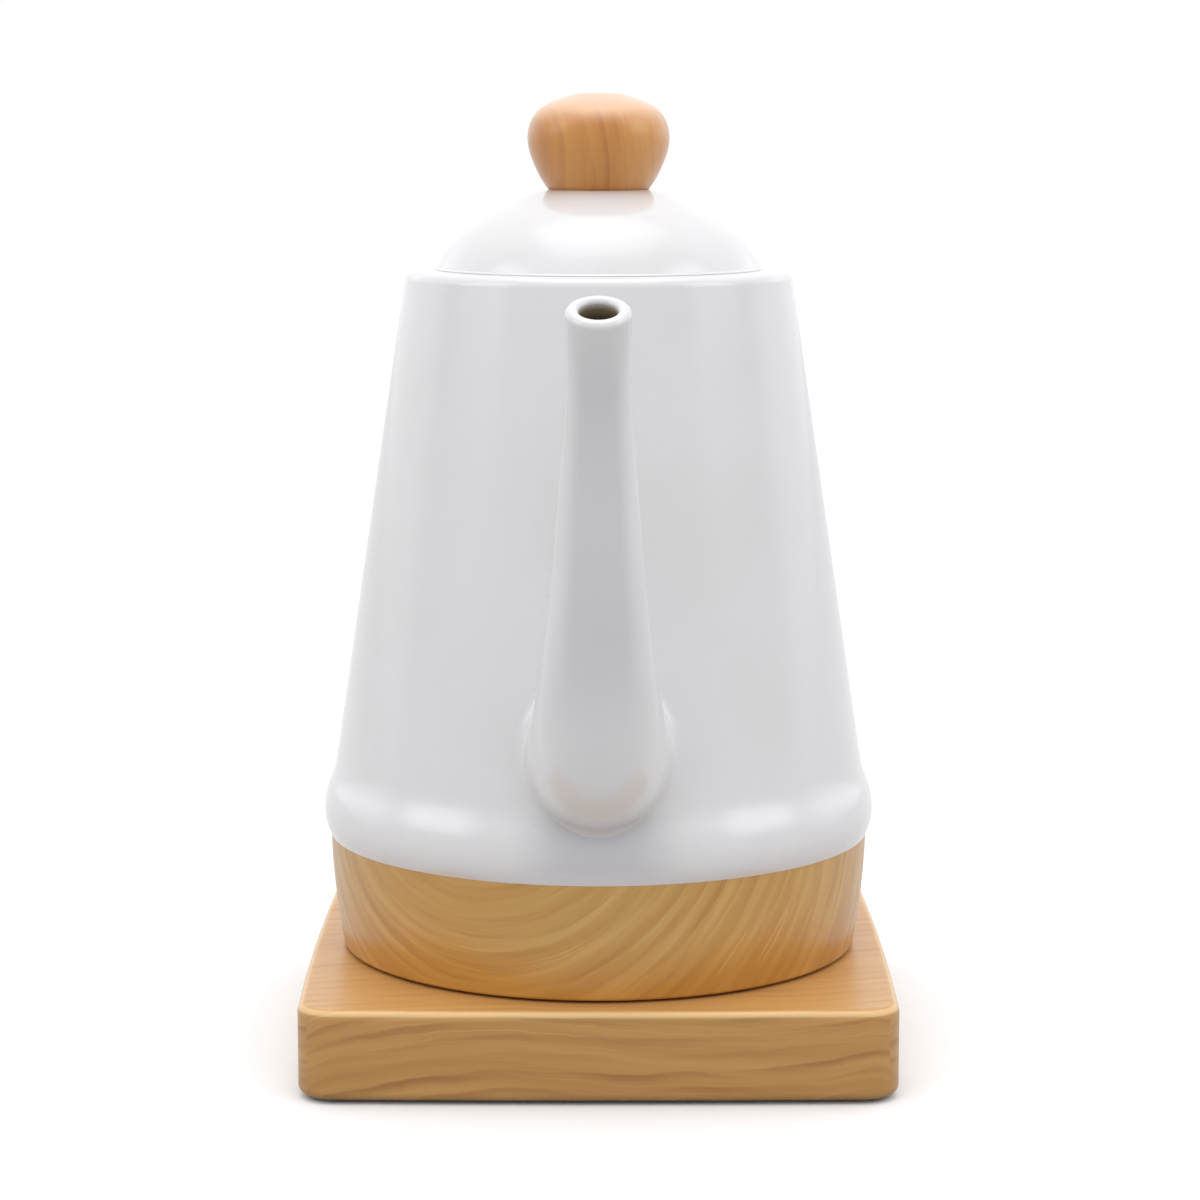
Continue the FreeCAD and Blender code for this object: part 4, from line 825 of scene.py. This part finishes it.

# ---------------------------------------------------------------- spout
# The gooseneck is cast on its own and luted to the body's root before firing. A few millimetres
# below the lip the bore turns a rougher brown, darkened deeper down with painted shade.
spout_lean = math.radians(24.0)
spout_mouth = (0.0, -0.10936, 0.2079)
spout_line = (0.0, -math.sin(spout_lean), math.cos(spout_lean))
bore_r = 0.0048
cone_top_r = 0.0528
cone_slope = math.tan(math.radians(8.6))
rim_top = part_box("ceramic_body")[1][2]


def bore_mask(tree, place):
    """1 on the bore's wall below the lip, 0 outside the spout, and the bore's brown, darkened with depth as
    painted shade.
    """
    from_mouth = vector_maths(tree, "SUBTRACT", place, spout_mouth)
    down = vector_maths(tree, "DOT_PRODUCT", from_mouth, spout_line)
    off_line = vector_maths(tree, "LENGTH", vector_maths(tree, "CROSS_PRODUCT", from_mouth, spout_line))
    within = smooth_step(tree, off_line, bore_r * 1.25, bore_r * 1.08)
    below = smooth_step(tree, down, 0.0016, -0.0012)
    above = smooth_step(tree, down, -0.014, -0.010)
    # Painted shade: the bore darkens with depth below the lip.
    deep = smooth_step(tree, down, 0.0, -0.0042)
    bore_colour_with_shade = blend_colour(tree, deep, shade(126, 114, 82), shade(66, 48, 32))
    return product(tree, below, above, within), bore_colour_with_shade


def spout_painted_light(tree, coordinates, colour, rough):
    """Painted shade on the neck's front and painted light on the foot, and the bore's colour below the lip.
    """
    _, back, up = axes_of(tree, coordinates["Object"])
    faces_side, faces_back, _ = axes_of(tree, coordinates["Normal"])
    # Painted shade: the front of the neck is darkened.
    neck = product(
        tree, smooth_step(tree, maths(tree, "ABSOLUTE", faces_side), 0.86, 0.45),
        smooth_step(tree, faces_back, 0.0, -0.4),
        smooth_step(tree, up, 0.100, 0.135),
        smooth_step(tree, up, 0.207, 0.188),
    )
    colour = blend_colour(tree, neck, colour, shade(204, 202, 203))
    # Painted light: the foot, where it stands out from the body, is lightened.
    wall = maths(tree, "MULTIPLY_ADD", up, -cone_slope, cone_top_r + cone_slope * rim_top)
    stands_out = maths(tree, "MULTIPLY_ADD", back, -1.0, product(tree, wall, -1.0))
    foot = product(tree, smooth_step(tree, up, 0.118, 0.080), smooth_step(tree, stands_out, 0.003, 0.014))
    colour = blend_colour(tree, foot, colour, shade(246, 246, 247))
    in_bore, bore_colour_with_shade = bore_mask(tree, coordinates["Object"])
    colour = blend_colour(tree, in_bore, colour, bore_colour_with_shade)
    return colour, maths(tree, "MULTIPLY_ADD", in_bore, 0.5, rough)


put_on(glazed("white_glaze_spout", spout_painted_light, clear_coat=0.25), "ceramic_spout")

# ---------------------------------------------------------------- handle
# The grip is one bent length of oiled beech, oval for the palm and round at its ends, between
# two polished collars. Long screws go through it into brass sockets in the ceramic stubs, and
# wooden plugs close their holes from behind.


def through_wood(tree, axes, up_lean, back_lean):
    """How far each point of solid wood is from the tree's heart, with growth rings that lean."""
    leaning = maths(tree, "MULTIPLY_ADD", axes[2], up_lean, axes[0])
    return maths(tree, "ADD", leaning, maths(tree, "MULTIPLY_ADD", axes[1], back_lean, far_heart))


beech, tree = new_material("grip_beech")
place = place_on(tree)
depth = through_wood(tree, axes_of(tree, place), up_lean=0.05, back_lean=0.35)
wood = group_of(
    tree, figure, Position=place, Distance=depth, Spacing=0.0032, Waver=0.0007, Streak=1300.0,
    Ground=shade(206, 146, 80), Late=shade(160, 96, 44), Pale=shade(222, 170, 104), Line_strength=0.42,
)
varnished(tree, wood, wood["Color"], 0.1, 0.34, Coat_Weight=0.3, Coat_Roughness=0.22)

swept, given = shape_tree(
    "swept_grip",
    {
        "Bend": (NUMBER, 0.024),
        "End_radius": (NUMBER, 0.0099),
        "Half_width": (NUMBER, 0.0105),
        "Half_depth": (NUMBER, 0.0075),
        "Round_end": (NUMBER, 0.09),
    },
)
line = add(swept, "GeometryNodeMeshToCurve", None, Mesh=given["Places"]).outputs[0]
line = add(
    swept, "GeometryNodeFilletCurve", {"mode": "POLY"}, Curve=line, Count=24, Radius=given["Bend"],
).outputs[0]
tube = add(
    swept, "GeometryNodeMeshCylinder", None, Vertices=48, Side_Segments=120, Radius=1.0, Depth=2.0,
).outputs["Mesh"]
tube_x, tube_y, tube_z = axes_of(swept, add(swept, "GeometryNodeInputPosition").outputs[0])
share = maths(swept, "MULTIPLY_ADD", tube_z, 0.5, 0.5)
on_line = add(swept, "GeometryNodeSampleCurve", {"mode": "FACTOR"}, Curves=line, Factor=share).outputs
outward = vector_maths(swept, "CROSS_PRODUCT", on_line["Tangent"], (1.0, 0.0, 0.0))
from_end = maths(swept, "MINIMUM", share, maths(swept, "SUBTRACT", 1.0, share))
oval = smooth_step(swept, from_end, 0.0, given["Round_end"])
wide = product(swept, tube_x, blend(swept, oval, given["End_radius"], given["Half_width"]))
deep = product(swept, tube_y, blend(swept, oval, given["End_radius"], given["Half_depth"]))
outward = vector_maths(swept, "SCALE", outward, Scale=deep)
section = vector_maths(swept, "ADD", vector_of(swept, X=wide), outward)
section = vector_maths(swept, "ADD", section, on_line["Position"])
bar = add(swept, "GeometryNodeSetPosition", None, Geometry=tube, Position=section).outputs[0]
close_tree(swept, bar, given)

low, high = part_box("handle_grip")
half_depth = 0.0075
grip_top = high[2] - half_depth
grip_bottom = low[2] + half_depth
grip_back = high[1] - half_depth
lower_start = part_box("handle_ferrules")[1][1]
grip_path = [
    (0.0, low[1], grip_top),
    (0.0, grip_back, grip_top),
    (0.0, grip_back, grip_bottom),
    (0.0, lower_start, grip_bottom),
]
grip = grown(
    "handle_grip_beech", swept, grip_path, beech, edges=[(0, 1), (1, 2), (2, 3)],
    Bend=0.024, End_radius=0.0099, Half_width=high[0], Half_depth=half_depth, Round_end=0.09,
)
grip_skin = bmesh.new()
grip_skin.from_mesh(grip.data)
bmesh.ops.recalc_face_normals(grip_skin, faces=grip_skin.faces)
grip_skin.to_mesh(grip.data)
grip_skin.free()
grip.data.shade_smooth()
bevel = grip.modifiers.new("edges", "BEVEL")
bevel.width = 0.0009
bevel.segments = 3
bevel.limit_method = "ANGLE"
bevel.angle_limit = math.radians(40)
bevel.harden_normals = True
belongs(grip, "kettle", "grip_wood", "handle_grip")
put_on(beech, "handle_plugs")
polished, brushed = shade(206, 205, 201), shade(176, 175, 171)
collar_steel = cut_metal("collar_steel", polished, brushed, 0.12, pitch=0.00025, along_y=True)
put_on(collar_steel, "handle_ferrules")
put_on(contact_brass, "handle_inserts")
put_on(zinc, "handle_screws")

# ---------------------------------------------------------------- lid and knob
# The lid is slip-cast and glazed like the body, and a silicone ring under it grips the mouth.
# The turned wooden knob, oiled and lacquered with its grain upright, is held from inside by
# one screw through a washer into a brass bush.
lid_glaze = glazed("white_glaze")
put_on(lid_glaze, "lid_shell")
put_on(white_silicone, "lid_seal", "lid_washer")
put_on(contact_brass, "knob_insert")

# A thin roll of glaze at the lid's edge, where it rests on the rim.
lid_edge_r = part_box("lid_shell")[1][0]
roll_section = [
    (-0.0006, 0.00002), (0.00042, 0.00002), (0.00040, 0.00016),
    (0.00022, 0.00036), (-0.0001, 0.0006), (-0.0006, 0.0006),
]
roll_turns = 288
sides = len(roll_section)
roll_points = []
roll_faces = []
for step in range(roll_turns):
    sweep = math.tau * step / roll_turns
    for out_by, up_by in roll_section:
        reach = lid_edge_r + out_by
        roll_points.append((reach * math.cos(sweep), reach * math.sin(sweep), rim_top + up_by))
    here, ahead = step * sides, (step + 1) % roll_turns * sides
    for corner in range(sides):
        beside = (corner + 1) % sides
        roll_faces.append((here + corner, ahead + corner, ahead + beside, here + beside))
roll_mesh = bpy.data.meshes.new("lid_edge_roll")
roll_mesh.from_pydata(roll_points, [], roll_faces)
roll_mesh.materials.append(lid_glaze)
roll_mesh.shade_smooth()
lid_edge = bpy.data.objects.new("lid_edge_roll", roll_mesh)
bpy.context.collection.objects.link(lid_edge)
belongs(lid_edge, "lid", "glaze")

screw_in(
    "lid", "lid_screw", [(0.0, 0.0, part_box("lid_screw")[0][2])],
    Head_radius=0.004, Head_height=0.0024, Shank_radius=0.0017, Thread_pitch=0.0008,
    Slot_width=0.0011, Slot_depth=0.0013,
)

knob_wood, tree = new_material("knob_wood")
place = place_on(tree)
x, y, z = axes_of(tree, place)
depth = through_wood(tree, (x, y, z), up_lean=0.16, back_lean=0.30)
# The knob's ground colour is lighter towards its right side.
lighter_to_right = smooth_step(tree, x, 0.003, 0.015)
wood = group_of(
    tree, figure, Position=place, Distance=depth, Spacing=0.0036, Waver=0.0009, Streak=1000.0,
    Ground=blend_colour(tree, lighter_to_right, shade(200, 134, 56), shade(218, 156, 84)),
    Late=shade(150, 84, 26), Pale=shade(212, 152, 76), Line_strength=0.34,
)
# Painted highlight: the knob's top is blended to a pale peach, as the overhead light's sheen.
low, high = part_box("lid_knob")
knob_height = high[2] - low[2]
painted_top_sheen = smooth_step(tree, z, low[2] + 0.64 * knob_height, low[2] + 0.92 * knob_height)
knob_with_painted_sheen = blend_colour(tree, product(tree, painted_top_sheen, 0.62), wood["Color"], shade(246, 208, 178))
varnished(tree, wood, knob_with_painted_sheen, 0.1, 0.3, Coat_Weight=0.4, Coat_Roughness=0.25, Sheen_Weight=0.08)
put_on(knob_wood, "lid_knob")
